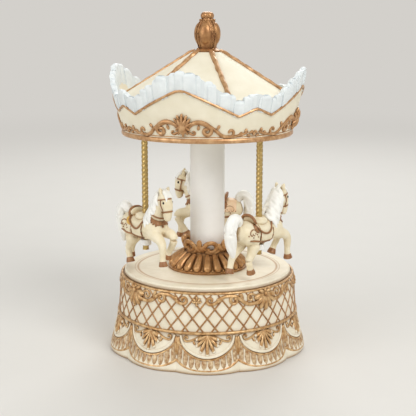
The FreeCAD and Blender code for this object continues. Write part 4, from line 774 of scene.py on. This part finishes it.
# Canopy: knotted ribs down the roof, thinner towards the eaves
RIBS = 6
RIB_FIRST = 15.0
RIB_STEPS = 13
RIB_FROM_R = 7.4
RIB_RUN = 42.9
RIB_TOP = 177.4
ROOF_TOP_R = 9.3
ROOF_TOP_Z = 176.9
ROOF_SLOPE = 0.602
rib_points = []
for index in range(RIB_STEPS + 1):
    part = index / RIB_STEPS
    reach = RIB_FROM_R + RIB_RUN * part
    roof = ROOF_TOP_Z - ROOF_SLOPE * (reach - ROOF_TOP_R)
    thick = (1.65 if index % 2 else 1.4) - 0.3 * part
    rib_points.append((uneven(index, 2.2, 0.2), -reach, min(RIB_TOP, roof), thick))
finished(around(stroke(rib_points), RIBS, RIB_FIRST), "roof_ribs", "carousel", copper_paint)

# Canopy: a shell cartouche under each tall peak, with scrolls that meet the next one's
scroll = [(3.2, 138.0, 0.9), (5.4, 140.2, 1.2), (8.7, 141.0, 1.4), (12.1, 140.2, 1.4), (15.0, 138.0, 1.3)]
scroll += curl((13.2, 136.2), (2.6, 0.8), (10.0, -330.0), (1.25, 1.0))
sweep = [(14.6, 139.3, 0.8), (18.8, 135.9, 1.0), (21.3, 133.8, 1.05), (23.8, 132.9, 1.0)]
sweep += curl((26.4, 135.2), (2.5, 0.7), (-120.0, 200.0), (0.95, 0.7))
strand = [(22.4, 132.9, 0.7), (28.4, 133.0, 0.8), (33.5, 134.0, 0.8), (37.0, 135.3, 0.6)]
foot = [(2.4, 135.6, 0.7), (4.6, 134.6, 0.8)]
foot += curl((5.8, 135.3), (1.2, 0.4), (-120.0, 160.0), (0.7, 0.5), 5)
# Place, turn and length of the small leaves along the scrolls
SCROLL_LEAVES = ((9.0, 139.8, 170.0, 3.2), (18.4, 136.4, -30.0, 3.6), (31.0, 133.6, -60.0, 3.0),
                 (34.5, 134.6, -30.0, 3.0), (37.5, 134.6, -70.0, 3.0), (36.2, 133.8, -110.0, 2.8))
carving = []
for side in SIDES:
    for points in (scroll, sweep, strand, foot):
        carving.append(stroke(sided(points, side), 1.1))
    for x, y, turn, long in SCROLL_LEAVES:
        carving.append(placed(leaf(long, 1.7, 0.9), side * x, y, 0.1, side * turn))
carving += fan(0.0, 137.4, count=7, spread=56.0, longest=8.6, shortest=6.4, wide=2.2, thick=1.5,
               facing=UPRIGHT, taper=-0.2, rise=0.6)
carving += fan(0.0, 138.0, count=3, spread=24.0, longest=6.4, shortest=5.6, wide=2.2, thick=1.4,
               facing=UPRIGHT, taper=-0.2, rise=1.7)
carving += fan(0.0, 139.6, count=5, spread=52.0, longest=7.0, shortest=5.4, wide=2.1, thick=1.5,
               facing=HANGING, taper=-0.5, rise=0.9)
carving.append(ball((0.0, 137.4, 1.5), 2.2, wide=1.5, tall=0.9, segments=14))
carving.append(ball((math.pi / PEAKS * CROWN_R, 134.4, 0.6), 1.1))
cartouche = lay(joined(carving), crown_reach, PEAK_ANGLE, CROWN_R)
finished(around(cartouche, PEAKS), "canopy_carving", "carousel", copper_paint)

# Finial: a bud of four smooth panels with a beaded seam between them, a collar and a lobed knob
FINIAL_Z = 177.0
FINIAL_TALL = 23.0
# Height above the finial's foot, and radius
FINIAL_PROFILE = ((0.0, 7.6), (0.8, 7.7), (1.6, 6.6), (2.2, 5.2), (3.4, 5.5), (6.4, 6.5), (10.0, 7.1),
                  (13.0, 6.8), (16.0, 5.5), (18.0, 4.1), (18.8, 3.6), (19.6, 3.3), (21.4, 3.0), (22.6, 2.0),
                  (FINIAL_TALL, 0.6))
PANELS = 4
FIRST_PANEL = math.radians(-13.0)
SEAM_HALF = math.radians(9.5)
SEAM_RISES = (2.4, 5.0, 8.0, 11.0, 14.0, 16.2, 17.8)
SEAM_BEADS = 12
BEADS_FROM = 3.2
BEADS_RUN = 14.0


def on_bud(turn, rise, proud):
    """A point of the bud's wall at an angle and a height, or a little proud of it."""
    return round_spot(turn, between(FINIAL_PROFILE, rise)[0] + proud, FINIAL_Z + rise)


core = [(reach, FINIAL_Z + rise) for rise, reach in FINIAL_PROFILE]
bud = [lathe([(0.0, FINIAL_Z)] + core + [(0.0, FINIAL_Z + FINIAL_TALL)], 48)]
panel = ball((0.0, -3.9, FINIAL_Z + 10.4), 4.3, wide=0.92, tall=1.6, segments=24)
for index in range(PANELS):
    turn = FIRST_PANEL + 2.0 * math.pi * index / PANELS
    seam = turn + math.pi / PANELS
    bud.append(copied(panel, Matrix.Rotation(turn, 4, "Z")))
    for side in SIDES:
        bud.append(stroke([on_bud(seam + side * SEAM_HALF, rise, 0.15) + (0.36,) for rise in SEAM_RISES]))
    for step in range(SEAM_BEADS):
        rise = BEADS_FROM + BEADS_RUN * step / (SEAM_BEADS - 1)
        bud.append(ball(on_bud(seam, rise, -0.05), 0.42, segments=8))
    for spot in (turn, seam):
        bud.append(ball(on_bud(spot, 18.3, 0.1), 0.9, tall=0.9))
    bud.append(ball(round_spot(seam, 1.9, FINIAL_Z + 20.65), 2.35, segments=16))
    bud.append(ball(on_bud(seam, 1.7, -0.2), 1.0, tall=0.8, segments=8))
bpy.data.objects.remove(panel)
finished(joined(bud), "finial_bud", "carousel", bronze_paint, ("finial",), 60.0)

# Pedestal: gadroons with a bead at the foot of each furrow, and an open ring of scrolls round the column
COLUMN_HOLE_R = 10.42
PEDESTAL_OUTLINE = ((COLUMN_HOLE_R, 0.0), (23.7, 0.0), (23.8, 0.9), (22.4, 1.6), (19.6, 4.0), (16.0, 7.0),
                    (13.2, 9.2), (12.5, 10.4), (13.0, 11.4), (12.4, 12.2), (COLUMN_HOLE_R, 12.2))
GADROONS = 22
# Radius, height above the deck and half width down a gadroon
GADROON_RUN = ((22.7, 1.2, 1.2), (21.6, 2.6, 2.5), (19.4, 5.0, 2.35), (16.6, 7.3, 1.9), (13.8, 9.4, 1.2))
pedestal = [lathe([(reach, DECK_Z + rise) for reach, rise in PEDESTAL_OUTLINE], 88)]
ridge = stroke([(0.0, -reach, DECK_Z + rise, thick) for reach, rise, thick in GADROON_RUN], steps=4)
furrow_bead = ball(round_spot(math.pi / GADROONS, 22.5, DECK_Z + 1.9), 0.75, segments=8)
pedestal.append(around(joined([ridge, furrow_bead]), GADROONS))

SCROLLS = 6
SCROLL_FIRST = 10.0
SCROLL_R = 12.6
SCROLL_FOOT_R = 12.0
SCROLL_FOOT_Z = 57.0
SCROLL_LEAN = 0.3


def scroll_reach(angle, height):
    """Radius of the ring of scrolls, which leans out from the column as it rises."""
    return SCROLL_FOOT_R + max(height - SCROLL_FOOT_Z, 0.0) * SCROLL_LEAN


loop = curl((0.0, 61.6), (3.9, 2.1), (200.0, -190.0), (1.5, 1.2), 9)
loop_foot = [(-3.4, 59.2, 1.2), (-1.0, 58.0, 1.4), (2.6, 58.4, 1.4), (4.8, 60.4, 1.25), (5.8, 63.8, 0.8)]
scrolls = [stroke(loop, steps=4), stroke(loop_foot, steps=4)]
scrolls += fan(6.2, 58.6, count=3, spread=32.0, longest=8.6, shortest=6.6, wide=2.9, thick=1.3,
               facing=-6.0, taper=0.7, rise=0.5)
scrolls += fan(-5.4, 58.4, count=3, spread=32.0, longest=6.0, shortest=5.0, wide=2.5, thick=1.2,
               facing=10.0, taper=0.7, rise=0.5)
pedestal.append(around(lay(joined(scrolls), scroll_reach, 0.0, SCROLL_R), SCROLLS, SCROLL_FIRST))
finished(joined(pedestal), "pedestal_gadroons", "base", pedestal_paint, ("column_pedestal",),
         60.0)

# Poles: a square brass rod twisted along its length
POLE_LOW = 61.3
POLE_HIGH = 146.0
POLE_CIRCLE = 39.0
POLE_ANGLES = {"left": -70.0, "right": 50.0, "rear": 173.0}
ROD_R = 1.82
ROD_SQUARE = 0.075
TWIST_PITCH = 10.6
TWIST_CUTS = 180
bpy.ops.object.select_all(action="DESELECT")
bpy.ops.mesh.primitive_cylinder_add(vertices=24, radius=ROD_R, depth=1.0, end_fill_type="TRIFAN")
rod = bpy.context.object
for corner in rod.data.vertices:
    swell = 1.0 + ROD_SQUARE * math.cos(4.0 * math.atan2(corner.co.y, corner.co.x))
    corner.co.x *= swell
    corner.co.y *= swell
pick_edges(rod, lambda start, end: abs(start.z - end.z) > 0.5)
bpy.ops.mesh.subdivide(number_cuts=TWIST_CUTS)
bpy.ops.object.mode_set(mode="OBJECT")
rod.scale = (1.0, 1.0, POLE_HIGH - POLE_LOW)
settle(rod)
twist = 2.0 * math.pi * (POLE_HIGH - POLE_LOW) / TWIST_PITCH
modify(rod, "SIMPLE_DEFORM", deform_method="TWIST", deform_axis="Z", angle=twist)
for side, turn in POLE_ANGLES.items():
    spot = round_spot(math.radians(turn), POLE_CIRCLE, (POLE_LOW + POLE_HIGH) / 2)
    pole = copied(rod, Matrix.Translation(spot))
    finished(pole, "twisted_pole_" + side, side + "_rider", brass_rod, ("pole_" + side,), 50.0)
bpy.data.objects.remove(rod)


# Horses, modelled once facing +X with heights counted from the deck

def limb(stations, steps=5):
    """A round tapering limb through points of x, y, z and half width."""
    return stroke(stations, sides=4, steps=steps)


SPREAD = 3.8
SHOULDER = 0.7 * SPREAD
raised = [(9.0, SHOULDER, 27.0, 4.2), (16.0, SPREAD, 25.6, 3.3), (22.0, SPREAD, 23.8, 2.6),
          (20.8, SPREAD, 18.8, 2.0), (17.8, SPREAD, 14.8, 1.8), (16.3, SPREAD, 12.0, 2.1)]
striding = [(9.0, -SHOULDER, 26.0, 4.4), (15.6, -SPREAD, 24.2, 3.4), (20.6, -SPREAD, 20.9, 2.6),
            (21.4, -SPREAD, 15.8, 2.0), (21.4, -SPREAD, 12.0, 1.8), (21.8, -SPREAD, 9.4, 2.1)]
trailing = [(-10.0, SHOULDER, 27.0, 5.0), (-12.0, SPREAD, 20.6, 4.1), (-15.6, SPREAD, 16.6, 2.7),
            (-18.6, SPREAD, 13.0, 2.1), (-19.8, SPREAD, 9.0, 1.8), (-20.3, SPREAD, 6.6, 2.1)]
standing = [(-10.0, -SHOULDER, 27.0, 5.0), (-8.6, -SPREAD, 20.2, 4.1), (-10.2, -SPREAD, 15.8, 2.7),
            (-12.4, -SPREAD, 12.0, 2.1), (-11.6, -SPREAD, 8.2, 1.8), (-10.9, -SPREAD, 5.8, 2.1)]
LEGS = (raised, striding, trailing, standing)
trunk = [(-19.0, 0.0, 30.0, 3.0), (-17.0, 0.0, 29.2, 5.6), (-12.0, 0.0, 27.8, 7.2), (-4.0, 0.0, 26.7, 6.7),
         (4.0, 0.0, 26.8, 6.9), (10.0, 0.0, 28.2, 7.1), (14.6, 0.0, 29.8, 5.6), (16.6, 0.0, 30.4, 3.4)]
neck = [(7.5, 0.0, 29.0, 5.8), (12.3, 0.0, 36.3, 5.3), (15.8, 0.0, 43.0, 4.4), (18.0, 0.0, 48.0, 3.2)]
head = [(17.6, 0.0, 49.6, 2.4), (19.0, 0.0, 47.8, 3.4), (20.9, 0.0, 44.2, 3.5), (21.6, 0.0, 40.2, 2.9),
        (21.5, 0.0, 36.8, 2.5), (21.1, 0.0, 34.8, 2.0)]
casting = [limb(stations) for stations in (trunk, neck, head) + LEGS]
# Cheeks, haunches and chest, each on both sides, then brow and muzzle: place, size, width and height
MUSCLES = (((19.8, 1.9, 44.0), 2.3, 0.8, 1.5), ((19.8, -1.9, 44.0), 2.3, 0.8, 1.5),
           ((-13.0, 3.4, 27.0), 4.6, 0.9, 1.3), ((-13.0, -3.4, 27.0), 4.6, 0.9, 1.3),
           ((12.0, 3.2, 28.4), 4.2, 0.8, 1.2), ((12.0, -3.2, 28.4), 4.2, 0.8, 1.2),
           ((22.2, 0.0, 45.6), 2.2, 1.1, 1.2), ((21.6, 0.0, 35.4), 1.9, 1.2, 0.9))
for place, size, wide, tall in MUSCLES:
    casting.append(ball(place, size, wide, tall, 16))
for side in SIDES:
    ear = [(18.4, side * 1.6, 48.8, 1.3), (18.3, side * 2.3, 50.8, 1.35), (18.5, side * 2.9, 52.4, 1.0),
           (18.7, side * 3.1, 53.3, 0.45)]
    casting.append(limb(ear))
horse = modify(joined(casting), "REMESH", mode="VOXEL", voxel_size=0.42)
modify(horse, "SMOOTH", factor=0.5, iterations=6)
HIDE = BVHTree.FromObject(horse, bpy.context.evaluated_depsgraph_get())
BESIDE_HORSE = 30.0


def band(cuts, thick):
    """A strap that lies on the horse: a copy of its hide kept between planes and given a thickness."""
    strap = copied(horse, Matrix.Identity(4))
    only(strap)
    bpy.ops.object.mode_set(mode="EDIT")
    for point, facing in cuts:
        bpy.ops.mesh.select_all(action="SELECT")
        bpy.ops.mesh.bisect(plane_co=point, plane_no=facing, clear_outer=True)
    bpy.ops.object.mode_set(mode="OBJECT")
    return modify(strap, "SOLIDIFY", thickness=thick, offset=1.0)


def slab(facing, low, high):
    """The two cuts that leave what lies between two levels along a direction."""
    way = Vector(facing).normalized()
    return [(way * high, way), (way * low, -way)]


def on_flank(x, z, side, out=0.0):
    """A point on the horse's side, seen from that side."""
    hit = HIDE.ray_cast(Vector((x, side * BESIDE_HORSE, z)), Vector((0.0, -side, 0.0)))[0]
    return (x, hit.y + side * out, z) if hit else (x, side * out, z)


# Harness: breast collar, neck strap, girth, noseband, browband and cheek straps
ALONG_NECK = (0.51, 0.0, 0.86)
UP_HEAD = (-0.2, 0.0, 0.98)
ACROSS_HEAD = (0.98, 0.0, 0.2)
FORWARD = (1.0, 0.0, 0.0)
UP = (0.0, 0.0, 1.0)
straps = [
    band(slab(ALONG_NECK, 34.8, 37.0) + slab(FORWARD, -5.0, 19.4), 0.45),
    band(slab(ALONG_NECK, 38.5, 39.2) + slab(FORWARD, -5.0, 18.4), 0.4),
    band(slab(FORWARD, -1.1, 0.9) + slab(UP, 15.0, 22.6), 0.4),
    band(slab(UP_HEAD, 34.0, 34.7) + slab(FORWARD, 18.4, 30.0), 0.3),
    band(slab(UP_HEAD, 41.3, 41.9) + slab(FORWARD, 17.4, 30.0), 0.3),
    band(slab(ACROSS_HEAD, 27.9, 28.5) + slab(UP, 38.9, 46.0), 0.3),
]
cloth = band(slab(FORWARD, -5.2, 4.6) + slab(UP, 22.6, 36.0), 0.4)
rump_cover = band(slab(FORWARD, -16.0, -7.0) + slab(UP, 27.0, 40.0), 0.3)

# Lines and studs drawn on the flanks, as x and height
flap = [(-8.6, 34.2), (-7.8, 31.4), (-5.6, 29.2), (-2.4, 27.4), (0.8, 27.2), (3.0, 28.8), (4.6, 31.6),
        (6.0, 33.4)]
cloth_edge = [(-5.2, 29.0), (-5.3, 25.6), (-5.1, 22.8), (-2.0, 22.4), (1.6, 22.4), (4.4, 22.8), (4.8, 25.6),
              (5.0, 29.6)]
sprig = [(-9.4, 29.6), (-11.2, 30.6), (-13.2, 30.4), (-14.6, 29.0), (-14.2, 27.6), (-13.0, 27.6),
         (-12.9, 28.6)]
belt = [(-14.5, 24.4), (-11.0, 24.0), (-8.0, 23.4), (-5.4, 22.9)]
dots = [(-10.4, 28.2), (-11.6, 27.4), (-9.2, 27.6), (-15.6, 27.4), (-10.2, 31.4), (-8.6, 26.2),
        (-12.4, 26.2)]
bridle_studs = [(20.1, 46.4), (20.9, 39.0)]
# How far each line stands out of the hide, and its half width
FLANK_LINES = ((flap, 0.75, 0.5), (cloth_edge, 0.45, 0.36), (sprig, 0.05, 0.3), (belt, 0.1, 0.5))
ROW_BEADS = 8
COLLAR_LEVEL = 34.5
tack = []
for side in SIDES:
    for run, out, thick in FLANK_LINES:
        tack.append(limb([on_flank(x, z, side, out) + (thick,) for x, z in run], 3))
    for index in range(ROW_BEADS):
        tack.append(ball(on_flank(-4.6 + 1.28 * index, 21.7, side, 0.35), 0.5, tall=1.2, segments=8))
        x = 7.0 + 1.45 * index
        level = (COLLAR_LEVEL - ALONG_NECK[0] * x) / ALONG_NECK[2]
        tack.append(ball(on_flank(x, level, side, 0.1), 0.62, tall=1.1, segments=8))
    for x, z in dots:
        tack.append(ball(on_flank(x, z, side, 0.1), 0.42, segments=8))
    for x, z in bridle_studs:
        tack.append(ball(on_flank(x, z, side, 0.1), 0.45, segments=8))

# Saddle with its cantle and horn, and the piping along the cantle's edge
seat = ball((-0.8, 0.0, 33.2), 6.6, wide=0.8, tall=0.42, segments=20)
cantle = ball((-8.2, 0.0, 35.0), 3.4, wide=1.5, tall=0.85, segments=18, long=0.4)
horn = ball((5.0, 0.0, 34.6), 1.7, wide=1.5, segments=14)
saddle = modify(joined([seat, cantle, horn]), "REMESH", mode="VOXEL", voxel_size=0.4)
modify(saddle, "SMOOTH", factor=0.5, iterations=4)
piping = limb([(-8.4, 5.6, 33.2, 0.6), (-9.0, 4.9, 35.2, 0.8), (-9.4, 3.4, 37.0, 0.85),
               (-9.6, 0.0, 37.9, 0.9), (-9.4, -3.4, 37.0, 0.85), (-9.0, -4.9, 35.2, 0.8),
               (-8.4, -5.6, 33.2, 0.6)], 4)

hoofs = []
for leg in LEGS:
    above = Vector(leg[-2][:3])
    below = Vector(leg[-1][:3])
    way = (below - above).normalized()
    bpy.ops.object.select_all(action="DESELECT")
    bpy.ops.mesh.primitive_cone_add(vertices=16, radius1=2.8, radius2=2.0, depth=3.2,
                                    location=below + way * 0.2,
                                    rotation=(-way).to_track_quat("Z", "Y").to_euler())
    hoofs.append(softened(settle(bpy.context.object), 0.5, 3, 50.0))
harness = joined(straps + tack + [piping] + hoofs)
eyes = joined([ball(on_flank(21.7, 44.8, side, -0.25), 0.72, tall=1.15, segments=12) for side in SIDES])

# Mane: locks that fall from the crest over each side of the neck, a crest strand and a forelock
MANE_LOCKS = 8
LOCK_HALVES = (1.4, 1.65, 1.65, 1.5, 1.1, 0.45)
LOCK_DOWN = Vector((-0.45, 0.0, -0.89))
LOCK_BACK = Vector((-0.89, 0.0, 0.45))
hair_strands = []
for side in SIDES:
    for index in range(MANE_LOCKS):
        part = index / (MANE_LOCKS - 1)
        middle = Vector((10.6 + 8.0 * part, 0.0, 34.0 + 14.6 * part))
        reach = 5.2 - 1.9 * part + 0.5
        points = []
        for step, lock_half in enumerate(LOCK_HALVES):
            turn = math.radians(4.0 + 23.0 * step)
            wander = 0.6 * math.sin(step * 1.9 + index * 2.1)
            spot = middle + (LOCK_BACK * math.cos(turn) + Vector((0.0, side, 0.0)) * math.sin(turn)) * reach
            spot += LOCK_DOWN * (1.3 * step + wander)
            points.append(tuple(spot) + (lock_half,))
        hair_strands.append(limb(points, 4))
for side in (-1.0, 0.0, 1.0):
    forelock = [(17.2, side * 0.6, 51.4, 1.1), (20.2, side * 1.2, 50.4, 1.2), (22.6, side * 1.6, 47.6, 0.9),
                (23.2, side * 1.9, 45.2, 0.35)]
    hair_strands.append(limb(forelock, 4))
crest = [(7.4, 0.0, 37.6, 1.5), (10.8, 0.0, 43.4, 1.9), (14.0, 0.0, 48.0, 1.8), (17.4, 0.0, 51.2, 1.2)]
hair_strands.append(limb(crest))

# Tail: a thick core with locks that wander round it
TAIL_LOCKS = 7
tail = [(-16.2, 0.0, 32.0, 1.8), (-18.0, 0.0, 36.2, 2.8), (-21.2, 0.0, 36.8, 3.3), (-23.6, 0.0, 31.8, 3.4),
        (-23.6, 0.0, 25.0, 3.2), (-22.6, 0.0, 19.0, 2.4), (-21.8, 0.0, 15.0, 1.0)]
hair_strands.append(limb(tail))
for index in range(TAIL_LOCKS):
    points = []
    for step, (x, y, z, thick) in enumerate(tail):
        turn = 2.0 * math.pi * index / TAIL_LOCKS + 0.55 * math.sin(step * 1.7 + index)
        off = 0.72 * thick
        points.append((x + off * math.cos(turn), y + off * math.sin(turn), z + 0.3 * math.sin(turn),
                       0.38 * thick + 0.1))
    hair_strands.append(limb(points, 4))
hair = modify(joined(hair_strands), "REMESH", mode="VOXEL", voxel_size=0.34)
modify(hair, "SMOOTH", factor=0.5, iterations=2)

# A painted patch behind the saddle on each flank
patch_run = [(-8.8, 33.0, 0.7), (-9.3, 31.2, 1.3), (-8.6, 29.4, 1.3), (-6.8, 28.2, 0.7)]
patches = []
for side in SIDES:
    patches.append(limb([on_flank(x, z, side, -0.45) + (thick,) for x, z, thick in patch_run], 4))
patch = joined(patches)

# Three castings of the horse, each with its own saddlery colours, on their poles
CLOTH_PAINT = {"left": horse_paint, "right": horse_paint, "rear": peach_paint}
PATCH_PAINT = {"left": ochre_paint, "right": harness_paint, "rear": harness_paint}
HORSE_YAW = {"left": 20.0, "right": -5.0, "rear": 0.0}
HORSE_FORWARD = {"left": 0.0, "right": 0.0, "rear": 1.5}
# Angles in degrees past which an edge stays sharp, on round forms and on straps
ROUND_CREASE = 70.0
STRAP_CREASE = 50.0
for side, turn in POLE_ANGLES.items():
    stand = (Matrix.Translation(round_spot(math.radians(turn), POLE_CIRCLE, DECK_Z)) @
             Matrix.Rotation(math.radians(turn + HORSE_YAW[side]), 4, "Z") @
             Matrix.Translation((HORSE_FORWARD[side], 0.0, 0.0)))
    ridden = [("carved_horse_", horse, horse_paint, "horse_resin", ROUND_CREASE),
              ("saddle_cloth_", cloth, CLOTH_PAINT[side], "horse_resin", STRAP_CREASE),
              ("cantle_patch_", patch, PATCH_PAINT[side], "horse_resin", STRAP_CREASE),
              ("saddle_", saddle, horse_paint, "horse_resin", ROUND_CREASE),
              ("harness_", harness, harness_paint, "bronze_resin", STRAP_CREASE),
              ("eyes_", eyes, eye_paint, "black_plastic", ROUND_CREASE),
              ("mane_and_tail_", hair, mane_paint, "horse_resin", ROUND_CREASE)]
    if side == "rear":
        ridden.append(("rump_cover_", rump_cover, peach_paint, "horse_resin", STRAP_CREASE))
    for name, pattern, finish, slot, crease in ridden:
        nodes = ("horse_" + side,) if pattern is horse else ()
        finished(copied(pattern, stand), name + side, side + "_rider", finish, nodes, crease)
for pattern in (horse, cloth, patch, rump_cover, saddle, harness, eyes, hair):
    bpy.data.objects.remove(pattern)

# Floor with a curved back, and soft studio light; sizes here are in metres
FLOOR_SIZE = 16.0
FLOOR_UNDER = 0.0002
BACK_TALL = 5.0
BACK_CURVE = 4.0
BACKDROP = "d3d0cb"
bpy.ops.object.select_all(action="DESELECT")
bpy.ops.mesh.primitive_plane_add(size=FLOOR_SIZE, location=(0.0, 0.0, -FLOOR_UNDER))
floor = bpy.context.object
floor.name = "floor"
settle(floor)
pick_edges(floor, lambda start, end: min(start.y, end.y) > 0.0)
bpy.ops.mesh.extrude_region_move(TRANSFORM_OT_translate={"value": (0.0, 0.0, BACK_TALL)})
bpy.ops.object.mode_set(mode="OBJECT")
softened(floor, BACK_CURVE, 24, 60.0)
bpy.ops.object.shade_smooth()


def seen_rays(owner):
    """One where a ray comes from the camera, a glossy surface or glass, and nought elsewhere."""
    path = add(owner, "ShaderNodeLightPath")
    mirror = add(owner, "ShaderNodeMath", {0: (path, "Is Camera Ray"), 1: (path, "Is Glossy Ray")},
                 operation="ADD")
    return add(owner, "ShaderNodeMath", {0: (mirror, 0), 1: (path, "Is Transmission Ray")}, operation="ADD",
               use_clamp=True)


def floor_finish():
    """Pale matt paper that fades to the plain backdrop colour a metre or two away from the object."""
    made = plain("pale matt floor", "d9d7d2", "dddbd6", rough=0.8, grain_mm=40.0, grain_depth=0.0)
    tree = made.node_tree
    place = add(made, "ShaderNodeTexCoord")
    reach = add(made, "ShaderNodeVectorMath", {0: (place, "Object")}, operation="LENGTH")
    far = add(made, "ShaderNodeMapRange", {"Value": (reach, "Value"), "From Min": 0.25, "From Max": 1.6},
              interpolation_type="SMOOTHERSTEP")
    faded = add(made, "ShaderNodeMath", {0: (far, "Result"), 1: (seen_rays(made), 0)}, operation="MULTIPLY")
    glow = add(made, "ShaderNodeEmission", {"Color": linear(BACKDROP), "Strength": 1.0})
    paper = tree.nodes["Principled BSDF"]
    both = add(made, "ShaderNodeMixShader", {0: (faded, 0), 1: (paper, 0), 2: (glow, 0)})
    tree.links.new(both.outputs[0], tree.nodes["Material Output"].inputs["Surface"])
    return made


floor.data.materials.append(floor_finish())


def lamp(name, place, aim, size, power):
    """A soft box that points at a spot on the object."""
    bpy.ops.object.select_all(action="DESELECT")
    way = Vector(aim) - Vector(place)
    bpy.ops.object.light_add(type="AREA", location=place, rotation=way.to_track_quat("-Z", "Y").to_euler())
    box = bpy.context.object
    box.name = name
    box.data.shape = "DISK"
    box.data.size = size
    box.data.energy = power


lamp("key_light", (0.55, -0.75, 0.85), aim=(0.0, 0.0, 0.1), size=0.7, power=7.4)
lamp("fill_light", (-0.9, -0.6, 0.5), aim=(0.0, 0.0, 0.1), size=0.9, power=4.4)
lamp("back_light", (0.1, 0.9, 0.8), aim=(0.0, 0.0, 0.12), size=0.7, power=5.0)
world = bpy.data.worlds.new("studio")
bpy.context.scene.world = world
world.use_nodes = True
sky = world.node_tree.nodes["Background"]
sky.inputs["Color"].default_value = linear("f4f3f0")
sky.inputs["Strength"].default_value = 0.55
behind = add(world, "ShaderNodeBackground", {"Color": linear(BACKDROP), "Strength": 1.0})
either = add(world, "ShaderNodeMixShader", {0: (seen_rays(world), 0), 1: (sky, 0), 2: (behind, 0)})
world.node_tree.links.new(either.outputs[0], world.node_tree.nodes["World Output"].inputs["Surface"])
